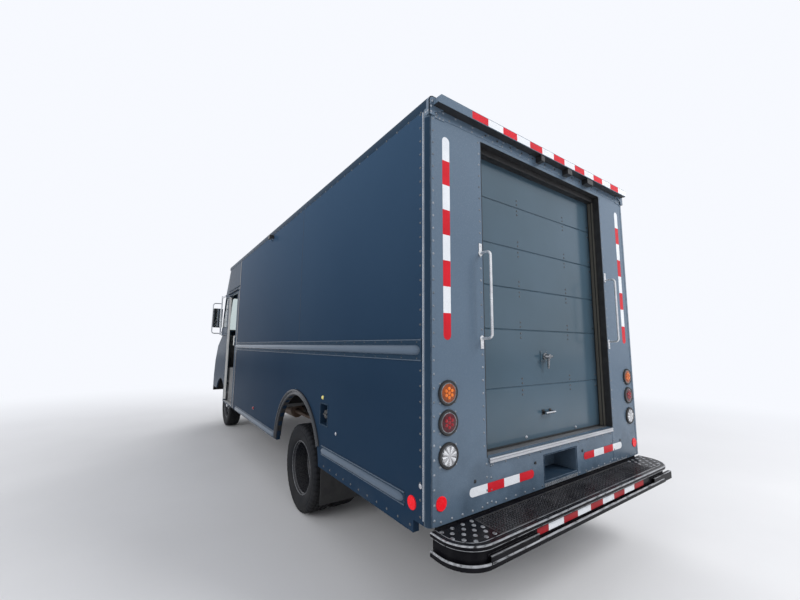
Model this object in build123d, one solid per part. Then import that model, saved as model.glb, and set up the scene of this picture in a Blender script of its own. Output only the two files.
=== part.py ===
from build123d import *
import math
import os

# A walk-in step van: flat aluminium body on a ladder frame, millimetres.
# +Z is up, the van faces -Y and its left side is +X.
# The origin is on the ground, under the middle of the outer box.
# Left-hand pieces are modelled, and the right-hand ones are their mirror images.

# Clearances and facets
SEAT_GAP = 0.4
RUNNING_GAP = 2.0
CUT = 1.0
WHEEL_FLATS = 24
SMALL_FLATS = 12
TUBE_FLATS = 6
HUB_FLATS = 12
DISC_FLATS = 24
CORNER_FLATS = 6
HOLE_FLATS = 6
ARCH_FLATS = 32
STEERING_FLATS = 16

# Body shell
HALF_WIDTH = 1220.0
WALL = 40.0
REAR_FACE = 3645.0
CARGO_LENGTH = 5040.0
CAB_LENGTH = 940.0
ROOF_TOP = 3090.0
ROOF_EDGE_RADIUS = 60.0
ROOF_THICKNESS = 40.0
SIDE_BOTTOM_FRONT = 552.0
SIDE_BOTTOM_REAR = 645.0
SKIRT_BOTTOM = 578.0
SKIRT_BACK = 135.0
B_POST = REAR_FACE - CARGO_LENGTH
A_POST = B_POST - CAB_LENGTH
INNER_HALF = HALF_WIDTH - WALL
SIDE_TOP = ROOF_TOP - ROOF_EDGE_RADIUS
ROOF_UNDERSIDE = ROOF_TOP - ROOF_THICKNESS

# Floor and ladder frame
FLOOR_TOP = 925.0
FLOOR_THICKNESS = 30.0
PLANK_THICKNESS = 12.0
PLANK_MARGIN = 15.0
SILL_DEPTH = 60.0
SILL_WIDTH = 60.0
SILL_COUNT = 9
SILL_START = 30.0
CAB_SILLS = (40.0, 575.0, 1075.0)
RAIL_HEIGHT = 230.0
RAIL_FLANGE = 75.0
RAIL_WEB = 8.0
RAIL_OUTER = 430.0
RAIL_END_INSET = 60.0
MEMBER_WIDTH = 70.0
ENGINE_SEAT = 60.0
FIREWALL_AHEAD = 515.0
FIREWALL_THICKNESS = 25.0
FLOOR_UNDERSIDE = FLOOR_TOP - FLOOR_THICKNESS
RAIL_TOP = FLOOR_UNDERSIDE - SILL_DEPTH
RAIL_BOTTOM = RAIL_TOP - RAIL_HEIGHT
RAIL_REAR = REAR_FACE - RAIL_END_INSET
FIREWALL = A_POST - FIREWALL_AHEAD

# Wheels
WHEELBASE = 4520.0
REAR_AXLE_Y = 1595.0
TYRE_RADIUS = 405.0
TYRE_WIDTH = 226.0
TREAD_WIDTH = 182.0
SHOULDER_DROP = 50.0
BEAD_WIDTH = 187.0
RIM_RADIUS = 247.0
RIM_THICKNESS = 9.0
RIM_WIDTH = 171.0
DISC_THICKNESS = 12.0
DISH_RADIUS = 200.0
HAND_HOLES = 8
HAND_HOLE_RADIUS = 24.0
HAND_HOLE_CIRCLE = 168.0
HUB_RADIUS = 88.0
SPINDLE_RADIUS = 32.0
TYRE_INSET = 52.0
DUAL_SPACING = 256.0
FRONT_TYRE_INSET = 280.0
FRONT_OFFSET = 30.0
FRONT_DISH = -20.0
REAR_DISH = 55.0
FRONT_HUB_LENGTH = 75.0
REAR_HUB_REACH = 60.0
REAR_HUB_OUT = 95.0
CAP_LENGTH = 60.0
CAP_WALL = 8.0
CAP_RADIUS = 56.0
FRONT_AXLE_Y = REAR_AXLE_Y - WHEELBASE
FRONT_TYRE_X = HALF_WIDTH - FRONT_TYRE_INSET
FRONT_DISC_X = FRONT_TYRE_X + FRONT_OFFSET
REAR_OUTER_TYRE_X = HALF_WIDTH - TYRE_INSET - TYRE_WIDTH / 2
REAR_INNER_TYRE_X = REAR_OUTER_TYRE_X - DUAL_SPACING
DUAL_MIDDLE_X = (REAR_OUTER_TYRE_X + REAR_INNER_TYRE_X) / 2
HUB_BORE = SPINDLE_RADIUS + RUNNING_GAP

# Axles, steering and springs
KINGPIN_BACK = 175.0
KINGPIN_RADIUS = 20.0
KINGPIN_GAP = 0.8
AXLE_EYE_RADIUS = 42.0
AXLE_EYE_HALF = 45.0
KNUCKLE_EAR = 28.0
KNUCKLE_EAR_RADIUS = 38.0
STEER_ARM = 190.0
STEER_ARM_HEIGHT = 24.0
STEER_ARM_HALF = 16.0
BALL_PIN_RADIUS = 9.0
BALL_PIN_GAP = 1.0
TIE_END_RADIUS = 20.0
TIE_ROD_RADIUS = 15.0
BEAM_HALF = 38.0
BEAM_LOW = 300.0
BEAM_HEIGHT = 90.0
BEAM_PAD_MARGIN = 32.0
BEAM_TAPER = 10.0
BRIDGE_GAP = 6.0
BRIDGE_THICKNESS = 22.0
STUB_RADIUS = 60.0
SPRING_OUT = 55.0
SPRING_WIDTH = 76.0
SPRING_THICKNESS = 40.0
SPRING_LEAF = 14.0
SPRING_SEAT_HALF = 120.0
SPRING_SHORT_SHARE = 0.55
SPRING_SHORT_RISE = 0.4
SPRING_EYE_RADIUS = 24.0
SPRING_EYE_DROP = 40.0
HANGER_HALF = 32.0
HANGER_REACH = 110.0
FRONT_SPRING_HALF = 620.0
REAR_SPRING_HALF = 690.0
REAR_TUBE_RADIUS = 62.0
SPRING_PAD = 12.0
SPRING_PAD_HALF = 50.0
BANJO_RADIUS = 150.0
BANJO_HALF = 105.0
BANJO_OUT = 170.0
PINION_LENGTH = 300.0
PINION_RADIUS = 70.0
SHAFT_RADIUS = 42.0
SHAFT_FRONT_GAP = 1150.0
KINGPIN_X = FRONT_TYRE_X - KINGPIN_BACK
PAD_TOP = BEAM_LOW + BEAM_HEIGHT
SPRING_X = RAIL_OUTER + SPRING_OUT
SPRING_EYE_Z = RAIL_BOTTOM - SPRING_EYE_DROP
REAR_PAD_TOP = TYRE_RADIUS + REAR_TUBE_RADIUS + SPRING_PAD

# Wheel arch in the side panels
ARCH_RADIUS = 590.0
ARCH_Z = 510.0
ARCH_Y = REAR_AXLE_Y
FLARE_WIDTH = 55.0
FLARE_BASE = 10.0
FLARE_RIDGE = 22.0
FLARE_RIDGE_WIDTH = 22.0
FLARE_FRONT_FOOT = 565.0
FLARE_REAR_FOOT = 735.0
BOX_WALL = 5.0
BOX_HEADROOM = 25.0
TYRE_BOX_GAP = 56.0
BOX_INNER_X = REAR_INNER_TYRE_X - TYRE_WIDTH / 2 - TYRE_BOX_GAP
BOX_TOP = ARCH_Z + ARCH_RADIUS + BOX_HEADROOM
BOX_FRONT = ARCH_Y - ARCH_RADIUS
BOX_REAR = ARCH_Y + ARCH_RADIUS

# Cab doors, doorways and entry steps
DOORWAY_FRONT_POST = 45.0
DOORWAY_REAR_POST = 160.0
DOORWAY_TOP = 2500.0
STEP_TOP = 575.0
STEP_THICKNESS = 20.0
STEP_REACH = 330.0
DOOR_POCKET = 50.0
DOOR_THICKNESS = 30.0
DOOR_WALL_GAP = 6.0
DOOR_BOTTOM = 590.0
DOOR_HEAD_LAP = 20.0
DOOR_SHUT_LAP = 10.0
DOOR_HANDLE_STRIP = 60.0
DOOR_REAR_LAP = 30.0
DOOR_FRAME = 110.0
WINDOW_BOTTOM = 1550.0
GLASS_THICKNESS = 6.0
TRACK_WALL = 5.0
TRACK_DEPTH = 50.0
TRACK_HEADROOM = 12.0
TRACK_END = 20.0
TRACK_END_WALL = 8.0
TONGUE_WIDTH = 8.0
TONGUE_LENGTH = 100.0
TONGUE_INSET = 40.0
TONGUE_GAP = 5.0
HOOK_INSET = 17.0
HOOK_LENGTH = 32.0
HOOK_LOW = 1580.0
HOOK_HEIGHT = 160.0
HOOK_STAND = 32.0
HOOK_GRIP = 14.0
HOOK_FOOT = 24.0
WELL_EDGE_X = INNER_HALF - DOOR_POCKET
STEP_INNER_X = INNER_HALF - STEP_REACH
DOORWAY_FRONT = A_POST + DOORWAY_FRONT_POST
DOORWAY_REAR = B_POST - DOORWAY_REAR_POST
DOOR_OUTER = INNER_HALF - DOOR_WALL_GAP
DOOR_MIDDLE_X = DOOR_OUTER - DOOR_THICKNESS / 2
DOOR_TOP = DOORWAY_TOP + DOOR_HEAD_LAP
TRACK_TOP = DOOR_TOP + TRACK_DEPTH + TRACK_HEADROOM
DOOR_OPEN_FRONT = DOORWAY_REAR - DOOR_HANDLE_STRIP
DOOR_SHUT_FRONT = DOORWAY_FRONT - DOOR_SHUT_LAP
DOOR_TRAVEL = DOOR_OPEN_FRONT - DOOR_SHUT_FRONT
DOOR_LENGTH = DOORWAY_REAR + DOOR_REAR_LAP - DOOR_SHUT_FRONT
DOOR_OPEN_REAR = DOOR_OPEN_FRONT + DOOR_LENGTH
POCKET_END = 30.0

# Front end: how far each corner of its side outline lies ahead of the cab's front posts
HEADER_AHEAD = 70.0
BROW_AHEAD = 420.0
BROW_DROP = 490.0
COWL_AHEAD = 720.0
COWL_Z = 1770.0
HOOD_MID_AHEAD = 1145.0
HOOD_MID_Z = 1560.0
NOSE_TOP_AHEAD = 1365.0
NOSE_TOP_Z = 1250.0
NOSE_LEAN = 75.0
NOSE_FRONT_Z = 940.0
NOSE_BOTTOM_Z = 700.0
NOSE_WALL = 25.0
CORNER_RADIUS = 110.0
FRONT_ARCH_RADIUS = 525.0
HEADER_TOP_Y = A_POST - HEADER_AHEAD
HEADER_Y = A_POST - BROW_AHEAD
HEADER_Z = ROOF_TOP - BROW_DROP
COWL_Y = A_POST - COWL_AHEAD
HOOD_MID_Y = A_POST - HOOD_MID_AHEAD
NOSE_TOP_Y = A_POST - NOSE_TOP_AHEAD
NOSE_FRONT_Y = NOSE_TOP_Y - NOSE_LEAN
NOSE_HALF = INNER_HALF
NOSE_INNER = NOSE_HALF - NOSE_WALL

# Hood, windows, grille and headlamps
HOOD_OVER_GRILLE = 50.0
HOOD_THICKNESS = 22.0
HOOD_GAP = 6.0
HOOD_LIFT = 8.0
HOOD_FRONT_RISE = 32.0
HOOD_FRONT_GAP = 4.0
HOOD_CUT_OVER = 20.0
HOOD_CUT_DEPTH = 110.0
HOOD_CUT_FRONT = 60.0
NOSE_RAIL_ROOM = 15.0
HOOD_LIP = 30.0
COWL_STRIP = 20.0
LEDGE_DEPTH = 25.0
LEDGE_REACH = 50.0
LEDGE_OVER = 10.0
SCREEN_TOP_SHARE = 0.08
SCREEN_LOW_SHARE = 0.86
SCREEN_POST = 30.0
SCREEN_BAR_HALF = 25.0
SCREEN_INSET = 16.0
QUARTER_REAR = 90.0
QUARTER_EDGE = 40.0
QUARTER_TOP_FRONT = 110.0
QUARTER_LOW_FRONT = 60.0
GRILLE_TO_HEADLAMP = 320.0
GRILLE_LOW = 900.0
GRILLE_HIGH = 1160.0
GRILLE_FRAME = 25.0
GRILLE_DEPTH = 50.0
GRILLE_PROUD = 4.0
GRILLE_SLATS = 6
SLAT_DROP = 9.0
SLAT_DEPTH = 30.0
SLAT_THICKNESS = 7.0
HEADLAMP_INSET = 390.0
HEADLAMP_Z = 1060.0
HEADLAMP_RADIUS = 92.0
BEZEL_HALF_WIDTH = 125.0
BEZEL_HALF_HEIGHT = 120.0
BEZEL_PROUD = 18.0
BEZEL_DEPTH = 60.0
LENS_PROUD = 12.0
HEADLAMP_X = NOSE_HALF - HEADLAMP_INSET
GRILLE_HALF = HEADLAMP_X - GRILLE_TO_HEADLAMP
HOOD_HALF = GRILLE_HALF + HOOD_OVER_GRILLE

# Front bumper
BUMPER_AHEAD = 130.0
BUMPER_DEPTH = 105.0
BUMPER_LOW = 610.0
BUMPER_HIGH = 870.0
BUMPER_INSET = 10.0
BUMPER_TAPER = 120.0
BUMPER_SWEEP = 60.0
BUMPER_SHEET = 10.0
BUMPER_BRACKET = 20.0
BUMPER_HALF = NOSE_HALF - BUMPER_INSET
BUMPER_FRONT_Y = NOSE_FRONT_Y - BUMPER_AHEAD
BUMPER_REAR_Y = BUMPER_FRONT_Y + BUMPER_DEPTH

# Rear wall, roll-up door and foot pocket
CORNER_POST_RADIUS = 32.0
PLATE_PROUD = 2.0
PILLAR_PLATE_LAP = 12.0
PILLAR_PLATE_EDGE = 24.0
HEADER_PLATE_LOW = 26.0
PILLAR_WIDTH = 451.0
DOOR_HEADER = 143.0
DOOR_RECESS = 100.0
ROLL_DOOR_THICKNESS = 28.0
JAMB_THICKNESS = 25.0
DOOR_SEAMS = (1310.0, 1710.0, 2010.0, 2310.0, 2630.0)
SEAM_WIDTH = 12.0
SEAM_DEPTH = 7.0
POCKET_HALF = 203.0
POCKET_BOTTOM = 680.0
POCKET_TOP = 855.0
POCKET_DEPTH = 190.0
POCKET_WALL = 6.0
THRESHOLD_HEIGHT = 28.0
THRESHOLD_PROUD = 14.0
THRESHOLD_LIFT = 1.5
THRESHOLD_RIB = 4.0
RAIL_OVERHANG = 57.0
DRIP_RAIL_HEIGHT = 60.0
DRIP_RAIL_END = 30.0
HEADER_BOXES = ((-545.0, 90.0), (-230.0, 60.0), (138.0, 40.0))
HEADER_BOX_HANG = 45.0
HEADER_BOX_DEPTH = 50.0
DOOR_OPENING_HALF = HALF_WIDTH - PILLAR_WIDTH
PILLAR_PLATE_INNER = DOOR_OPENING_HALF - PILLAR_PLATE_LAP
DOOR_OPENING_TOP = ROOF_TOP - DOOR_HEADER
DOOR_FACE = REAR_FACE - DOOR_RECESS
DRIP_RAIL_LOW = ROOF_TOP - DRIP_RAIL_HEIGHT

# Rear door hardware and grab handles
HANDLE_TUBE = 16.0
GRAB_INSET = 38.0
GRAB_LOW = 1640.0
GRAB_HIGH = 2220.0
GRAB_STAND = 85.0
GRAB_BEND = 50.0
FOOT_RADIUS = 34.0
FOOT_THICKNESS = 8.0
LATCH_Z = 1520.0
LATCH_HALF_WIDTH = 55.0
LATCH_HALF_HEIGHT = 45.0
LATCH_PLATE = 6.0
LATCH_STAND = 38.0
LATCH_BAR = 12.0
LATCH_BAR_HALF = 60.0
LATCH_LEVER = 95.0
PULL_Z = 1115.0
PULL_HALF = 60.0
PULL_STAND = 42.0
PULL_BAR = 14.0
PULL_FOOT = 24.0
GRAB_X = PILLAR_PLATE_INNER + GRAB_INSET

# Lamps
LAMP_INSET = 137.0
LAMP_RADIUS = 66.0
LAMP_LENS_INSET = 12.0
LAMP_HEIGHTS = (1330.0, 1168.0, 992.0)
LAMP_FLANGE = 6.0
LAMP_PROUD = 16.0
REFLECTOR_INSET = 83.0
REFLECTOR_Z = 754.0
REFLECTOR_RADIUS = 38.0
REFLECTOR_THICKNESS = 6.0
SIDE_REFLECTOR_BACK = 147.0
SIDE_REFLECTOR_Z = 730.0
CLEARANCE_LAMP_SPACING = 160.0
CLEARANCE_LAMP_INSET = 220.0
CLEARANCE_LAMP_HALF = 50.0
CLEARANCE_LAMP_PROUD = 18.0
CLEARANCE_LAMP_TOP = 0.12
CLEARANCE_LAMP_LOW = 0.22
LAMP_X = HALF_WIDTH - LAMP_INSET
REFLECTOR_X = HALF_WIDTH - REFLECTOR_INSET
CLEARANCE_OUTER_X = HALF_WIDTH - CLEARANCE_LAMP_INSET
CLEARANCE_LAMP_X = (-CLEARANCE_OUTER_X, -CLEARANCE_LAMP_SPACING, 0, CLEARANCE_LAMP_SPACING, CLEARANCE_OUTER_X)

# Rear step bumper
STEP_BUMPER_REACH = 260.0
STEP_BUMPER_INSET = 5.0
STEP_BUMPER_TOP = 632.0
STEP_BUMPER_LOW = 514.0
STEP_BUMPER_CORNER = 190.0
STEP_SHEET = 6.0
NOSING_HEIGHT = 26.0
NOSING_WIDTH = 24.0
NOSING_CHAMFER = 7.0
WEB_INSET = 20.0
LIP_HEIGHT = 34.0
END_CHANNEL_TOP = 577.0
END_CHANNEL_LOW = 520.0
LEFT_CHANNEL_FROM = 565.0
LEFT_CHANNEL_TO = 175.0
RIGHT_CHANNEL_FROM = 45.0
RIGHT_CHANNEL_TO = 375.0
TREAD_INSET = 295.0
TREAD_FRONT = 28.0
TREAD_REAR = 40.0
TREAD_PROUD = 2.0
TREAD_HEIGHT = 22.0
TREAD_FRAME = 8.0
TREAD_PITCH = 26.0
TREAD_BAR = 8.0
TREAD_RODS = 3
TREAD_ROD = 10.0
STEP_ARM_WIDTH = 60.0
STEP_ARM_LIFT = 10.0
STEP_REAR = REAR_FACE + STEP_BUMPER_REACH
STEP_BUMPER_HALF = HALF_WIDTH - STEP_BUMPER_INSET
TREAD_HALF = STEP_BUMPER_HALF - TREAD_INSET
END_CHANNELS = (
    (STEP_BUMPER_HALF - LEFT_CHANNEL_FROM, STEP_BUMPER_HALF - LEFT_CHANNEL_TO),
    (RIGHT_CHANNEL_FROM - STEP_BUMPER_HALF, RIGHT_CHANNEL_TO - STEP_BUMPER_HALF),
)

# Side rails and fuel filler
BELT_Z = 1567.0
BELT_FLANGE = 62.0
BELT_BULGE = 30.0
BELT_PROUD = 32.0
LOWER_RAIL_Z = 727.0
ROCKER_Z = 590.0
SMALL_RAIL_FLANGE = 38.0
SMALL_RAIL_HALF = 26.0
SMALL_RAIL_PROUD = 24.0
RAIL_SKIN = 5.0
RAIL_TO_FLARE = 5.0
BELT_START = 40.0
BELT_END = 60.0
LOWER_RAIL_END = 215.0
ROCKER_START = 220.0
FILLER_BACK = 10.0
FILLER_LENGTH = 145.0
FILLER_BOTTOM = 930.0
FILLER_HEIGHT = 170.0
FILLER_DEPTH = 95.0
FILLER_SHEET = 4.0
FILLER_CAP_RADIUS = 44.0
FILLER_CAP_INSET = 35.0
FILLER_FRONT = ARCH_Y + ARCH_RADIUS + FILLER_BACK

# Mirrors
MIRROR_AHEAD = 620.0
MIRROR_REACH = 180.0
MIRROR_HEAD_X = 80.0
MIRROR_POST_X = 22.0
MIRROR_LOW = 1815.0
MIRROR_HIGH = 2420.0
MIRROR_TUBE = 11.0
MIRROR_POST = 15.0
MIRROR_BEND = 45.0
MIRROR_HEAD_HALF = 85.0
MIRROR_HEAD_LOW = 1930.0
MIRROR_HEAD_HIGH = 2320.0
MIRROR_HEAD_FRONT = 45.0
MIRROR_HEAD_BACK = 14.0
BRACKETS = ((1835.0, 140.0), (2545.0, 380.0))
BRACKET_HALF = 14.0
MIRROR_Y = A_POST - MIRROR_AHEAD

# Engine, tank and exhaust
ENGINE_HALF = 300.0
ENGINE_AHEAD = 380.0
ENGINE_HIGH = 1260.0
ENGINE_REAR = 130.0
ENGINE_GAP = 10.0
TANK_BACK = 500.0
TANK_LENGTH = 900.0
TANK_INSET = 260.0
TANK_LOW = 480.0
TANK_ROUND = 45.0
TANK_GAP = 20.0
EXHAUST_OUT = 130.0
EXHAUST_RISE = 20.0
SILENCER_RADIUS = 95.0
SILENCER_LENGTH = 700.0
PIPE_RADIUS = 35.0
EXHAUST_HANGER = 40.0
PIPE_FRONT = 900.0
PIPE_END = 800.0

# Cab fittings
SEAT_INSET = 290.0
SEAT_BACK = 560.0
SEAT_HEIGHT = 470.0
SEAT_HALF = 240.0
SEAT_CUSHION = 110.0
PEDESTAL_HALF = 150.0
SEAT_BACK_HEIGHT = 620.0
SEAT_BACK_THICKNESS = 90.0
SEAT_RECLINE = 100.0
DASH_BACK = 190.0
DASH_LOW = 1100.0
DASH_FACE = 330.0
DASH_SLOPE = 90.0
DASH_KNEE = 160.0
DASH_DROP = 20.0
DASH_FRONT = 60.0
KICK_LAP = 60.0
BRACKET_BACK = 55.0
BRACKET_WALL = 16.0
WHEEL_HEIGHT = 1640.0
WHEEL_BACK = 30.0
WHEEL_TILT = 30.0
WHEEL_RADIUS = 225.0
WHEEL_RIM = 14.0
WHEEL_HUB_RADIUS = 45.0
WHEEL_HUB_LENGTH = 60.0
SPOKE_HALF = 16.0
COLUMN_RADIUS = 24.0
COLUMN_LENGTH = 810.0
PARTITION_BACK = 20.0
PARTITION_THICKNESS = 30.0
PARTITION_DOOR_HALF = 330.0
PARTITION_DOOR_TOP = 2650.0
SEAT_X = STEP_INNER_X - SEAT_INSET


def prism_x(points, x_low, x_high):
    """Extrude a (y, z) outline along X."""
    wire = Wire.make_polygon([Vector(x_low, y, z) for y, z in points], close=True)
    return Solid.extrude(Face(wire), Vector(x_high - x_low, 0, 0))


def prism_y(points, y_low, y_high):
    """Extrude an (x, z) outline along Y."""
    wire = Wire.make_polygon([Vector(x, y_low, z) for x, z in points], close=True)
    return Solid.extrude(Face(wire), Vector(0, y_high - y_low, 0))


def prism_z(points, z_low, z_high):
    """Extrude an (x, y) outline along Z."""
    wire = Wire.make_polygon([Vector(x, y, z_low) for x, y in points], close=True)
    return Solid.extrude(Face(wire), Vector(0, 0, z_high - z_low))


def block(x_low, x_high, y_low, y_high, z_low, z_high):
    """A box between two corners."""
    corners = [(x_low, y_low), (x_high, y_low), (x_high, y_high), (x_low, y_high)]
    return prism_z(corners, z_low, z_high)


def round_points(radius, sides, first, second):
    """Corners of a regular polygon round a point, with a flat at each quarter."""
    step = 2 * math.pi / sides
    angles = [step * (index + 0.5) for index in range(sides)]
    return [(first + radius * math.cos(angle), second + radius * math.sin(angle)) for angle in angles]


def rod_x(radius, x_low, x_high, y, z):
    """A true cylinder along X, for pins and bores."""
    plane = Plane(origin=(x_low, y, z), x_dir=(0, 1, 0), z_dir=(1, 0, 0))
    return Solid.make_cylinder(radius, x_high - x_low, plane)


def rod_z(radius, z_low, z_high, x, y):
    """A true cylinder along Z, for pins and bores."""
    return Solid.make_cylinder(radius, z_high - z_low, Plane(origin=(x, y, z_low)))


def flat_rod_x(radius, x_low, x_high, y, z, sides=SMALL_FLATS):
    return prism_x(round_points(radius, sides, y, z), x_low, x_high)


def flat_rod_y(radius, y_low, y_high, x, z, sides=SMALL_FLATS):
    return prism_y(round_points(radius, sides, x, z), y_low, y_high)


def flat_rod_z(radius, z_low, z_high, x, y, sides=SMALL_FLATS):
    return prism_z(round_points(radius, sides, x, y), z_low, z_high)


def closed_solid(quads):
    """A solid from the flat faces that close it."""
    faces = [Face(Wire.make_polygon(corners, close=True)) for corners in quads]
    return Solid(Shell(faces))


def bridged(sections):
    """A solid of flat sides between polygon sections with the same number of corners."""
    sides = len(sections[0])
    quads = [sections[0], sections[-1]]
    for low, high in zip(sections, sections[1:]):
        for corner in range(sides):
            other = (corner + 1) % sides
            quads.append([low[corner], low[other], high[other], high[corner]])
    return closed_solid(quads)


def flat_turned(stations, sides, y, z):
    """A closed body of flats round an axis along X, from (x, radius) stations."""
    sections = []
    for x, radius in stations:
        sections.append([Vector(x, *point) for point in round_points(radius, sides, y, z)])
    return bridged(sections)


def flat_ring(profile, sides):
    """Carry a closed (x, radius) outline round the X axis; each radius is that of the flats."""
    reach = 1 / math.cos(math.pi / sides)
    loops = []
    for x, radius in profile:
        loops.append([Vector(x, *point) for point in round_points(radius * reach, sides, 0, 0)])
    quads = []
    for low, high in zip(loops, loops[1:] + loops[:1]):
        for corner in range(sides):
            other = (corner + 1) % sides
            quads.append([low[corner], low[other], high[other], high[corner]])
    return closed_solid(quads)


def eased_route(points, bend):
    """Replace each inner corner of a route by four points round a bend of the given radius."""
    route = [Vector(*points[0])]
    for index in range(1, len(points) - 1):
        corner = Vector(*points[index])
        back = (Vector(*points[index - 1]) - corner).normalized()
        ahead = (Vector(*points[index + 1]) - corner).normalized()
        half_turn = math.radians(180 - back.get_angle(ahead)) / 2
        centre = corner + (back + ahead).normalized() * (bend / math.cos(half_turn))
        spoke = corner + back * (bend * math.tan(half_turn)) - centre
        for share in (0, 1 / 3, 2 / 3, 1):
            angle = 2 * half_turn * share
            route.append(centre + spoke * math.cos(angle) - back * (bend * math.sin(angle)))
    route.append(Vector(*points[-1]))
    return route


def tube_along(points, radius, bend, sides=TUBE_FLATS):
    """A bar of equal flats along a route, mitred at each turn."""
    route = eased_route(points, bend)
    first = (route[1] - route[0]).normalized()
    plane = Plane(origin=route[0], z_dir=first)
    section = [plane.from_local_coords(Vector(x, y, 0)) for x, y in round_points(radius, sides, 0, 0)]
    sections = [section]
    for index in range(1, len(route)):
        run = (route[index] - route[index - 1]).normalized()
        following = (route[index + 1] - route[index]).normalized() if index + 1 < len(route) else run
        normal = (run + following).normalized()
        moved = []
        for corner in sections[-1]:
            distance = (route[index] - corner).dot(normal) / run.dot(normal)
            moved.append(corner + run * distance)
        sections.append(moved)
    return bridged(sections)


def mirrored(shape):
    return shape.mirror(Plane.YZ)


def both_sides(shape):
    return shape, mirrored(shape)


def save(name, *shapes):
    """Write one node from solids that do not touch."""
    solids = []
    for shape in shapes:
        solids += shape.solids()
    whole = solids[0] if len(solids) == 1 else Compound(solids)
    export_step(whole, f"parts/{name}.step")


def chassis_frame():
    """Two channel rails joined by channel crossmembers."""
    web_x = RAIL_OUTER - RAIL_WEB
    lip_x = RAIL_OUTER - RAIL_FLANGE
    low = RAIL_BOTTOM + RAIL_WEB
    high = RAIL_TOP - RAIL_WEB
    channel = [
        (RAIL_OUTER, RAIL_BOTTOM), (RAIL_OUTER, RAIL_TOP), (lip_x, RAIL_TOP), (lip_x, high),
        (web_x, high), (web_x, low), (lip_x, low), (lip_x, RAIL_BOTTOM),
    ]
    rail = prism_y(channel, BUMPER_REAR_Y, RAIL_REAR)
    frame = rail + mirrored(rail)
    deep = high - low
    # columns: what the member is measured from, distance back from it, height of the member
    members = [
        (BUMPER_REAR_Y, 60, deep), (FRONT_AXLE_Y, 150, ENGINE_SEAT), (A_POST, 60, ENGINE_SEAT),
        (B_POST, 600, deep), (B_POST, 1650, deep), (REAR_AXLE_Y, -560, deep), (REAR_AXLE_Y, 520, deep),
        (REAR_FACE - POCKET_DEPTH, -120, deep),
    ]
    for start, back, height in members:
        y = start + back
        rear = y + MEMBER_WIDTH
        web = y + RAIL_WEB
        top = low + height
        member = [
            (y, low), (rear, low), (rear, low + RAIL_WEB), (web, low + RAIL_WEB),
            (web, top - RAIL_WEB), (rear, top - RAIL_WEB), (rear, top), (y, top),
        ]
        frame += prism_x(member, -web_x, web_x)
    return frame


def floor():
    """Floor plate on cross sills, with raised cargo planks, entry wells and boxes over the rear wheels."""
    rear = REAR_FACE - WALL
    plate = block(-INNER_HALF, INNER_HALF, FIREWALL, rear, FLOOR_UNDERSIDE, FLOOR_TOP)
    plank_front = B_POST + PARTITION_BACK + PARTITION_THICKNESS + PLANK_MARGIN
    plank_rear = DOOR_FACE - ROLL_DOOR_THICKNESS - PLANK_MARGIN
    plank_half = WELL_EDGE_X - PLANK_MARGIN
    plate += block(-plank_half, plank_half, plank_front, plank_rear, FLOOR_TOP, FLOOR_TOP + PLANK_THICKNESS)
    above = FLOOR_TOP + PLANK_THICKNESS + CUT
    pocket = block(WELL_EDGE_X, HALF_WIDTH, A_POST - CUT, DOOR_OPEN_REAR + POCKET_END, 0, above)
    well = block(STEP_INNER_X, HALF_WIDTH, A_POST, DOORWAY_REAR, 0, above)
    margin = PLANK_MARGIN
    wheel_space = block(BOX_INNER_X - margin, HALF_WIDTH, BOX_FRONT - margin, BOX_REAR + margin,
                        FLOOR_TOP, above)
    wheel_space += block(BOX_INNER_X, HALF_WIDTH, BOX_FRONT, BOX_REAR, 0, above)
    nose_edge = block(NOSE_INNER, HALF_WIDTH, FIREWALL - CUT, A_POST, 0, above)
    for cut in (pocket, well, wheel_space, nose_edge):
        plate -= cut
        plate -= mirrored(cut)
    sill_front = B_POST + SILL_START
    pitch = (rear - SILL_WIDTH - sill_front) / (SILL_COUNT - 1)
    for index in range(SILL_COUNT):
        y = sill_front + index * pitch
        in_box = BOX_FRONT - SILL_WIDTH < y < BOX_REAR
        half = BOX_INNER_X - BOX_WALL if in_box else WELL_EDGE_X
        plate += block(-half, half, y, y + SILL_WIDTH, RAIL_TOP, FLOOR_UNDERSIDE)
    for back in CAB_SILLS:
        y = FIREWALL + back
        plate += block(-STEP_INNER_X, STEP_INNER_X, y, y + SILL_WIDTH, RAIL_TOP, FLOOR_UNDERSIDE)
    for piece in (entry_well(), wheel_box()):
        plate += piece
        plate += mirrored(piece)
    plate -= block(-POCKET_HALF, POCKET_HALF, REAR_FACE - POCKET_DEPTH, REAR_FACE, POCKET_BOTTOM, POCKET_TOP)
    return plate


def entry_well():
    """Left step well: risers round an entry step at the doorway."""
    step_low = STEP_TOP - STEP_THICKNESS
    sheet = STEP_THICKNESS
    well = block(STEP_INNER_X - sheet, WELL_EDGE_X, A_POST - sheet, DOORWAY_REAR + sheet,
                 step_low, FLOOR_UNDERSIDE)
    well -= block(STEP_INNER_X, HALF_WIDTH, A_POST, DOORWAY_REAR, STEP_TOP, FLOOR_TOP)
    return well + block(WELL_EDGE_X, INNER_HALF, DOORWAY_FRONT, DOORWAY_REAR, step_low, STEP_TOP)


def wheel_box():
    """Left sheet box over the rear wheels, open below and to the arch."""
    inner = BOX_INNER_X - BOX_WALL
    box = block(inner, INNER_HALF, BOX_FRONT - BOX_WALL, BOX_REAR + BOX_WALL, FLOOR_TOP, BOX_TOP)
    box += block(inner, BOX_INNER_X, BOX_FRONT, BOX_REAR, FLOOR_UNDERSIDE, FLOOR_TOP)
    return box - block(BOX_INNER_X, HALF_WIDTH, BOX_FRONT, BOX_REAR, FLOOR_TOP - CUT, BOX_TOP - BOX_WALL)


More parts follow.
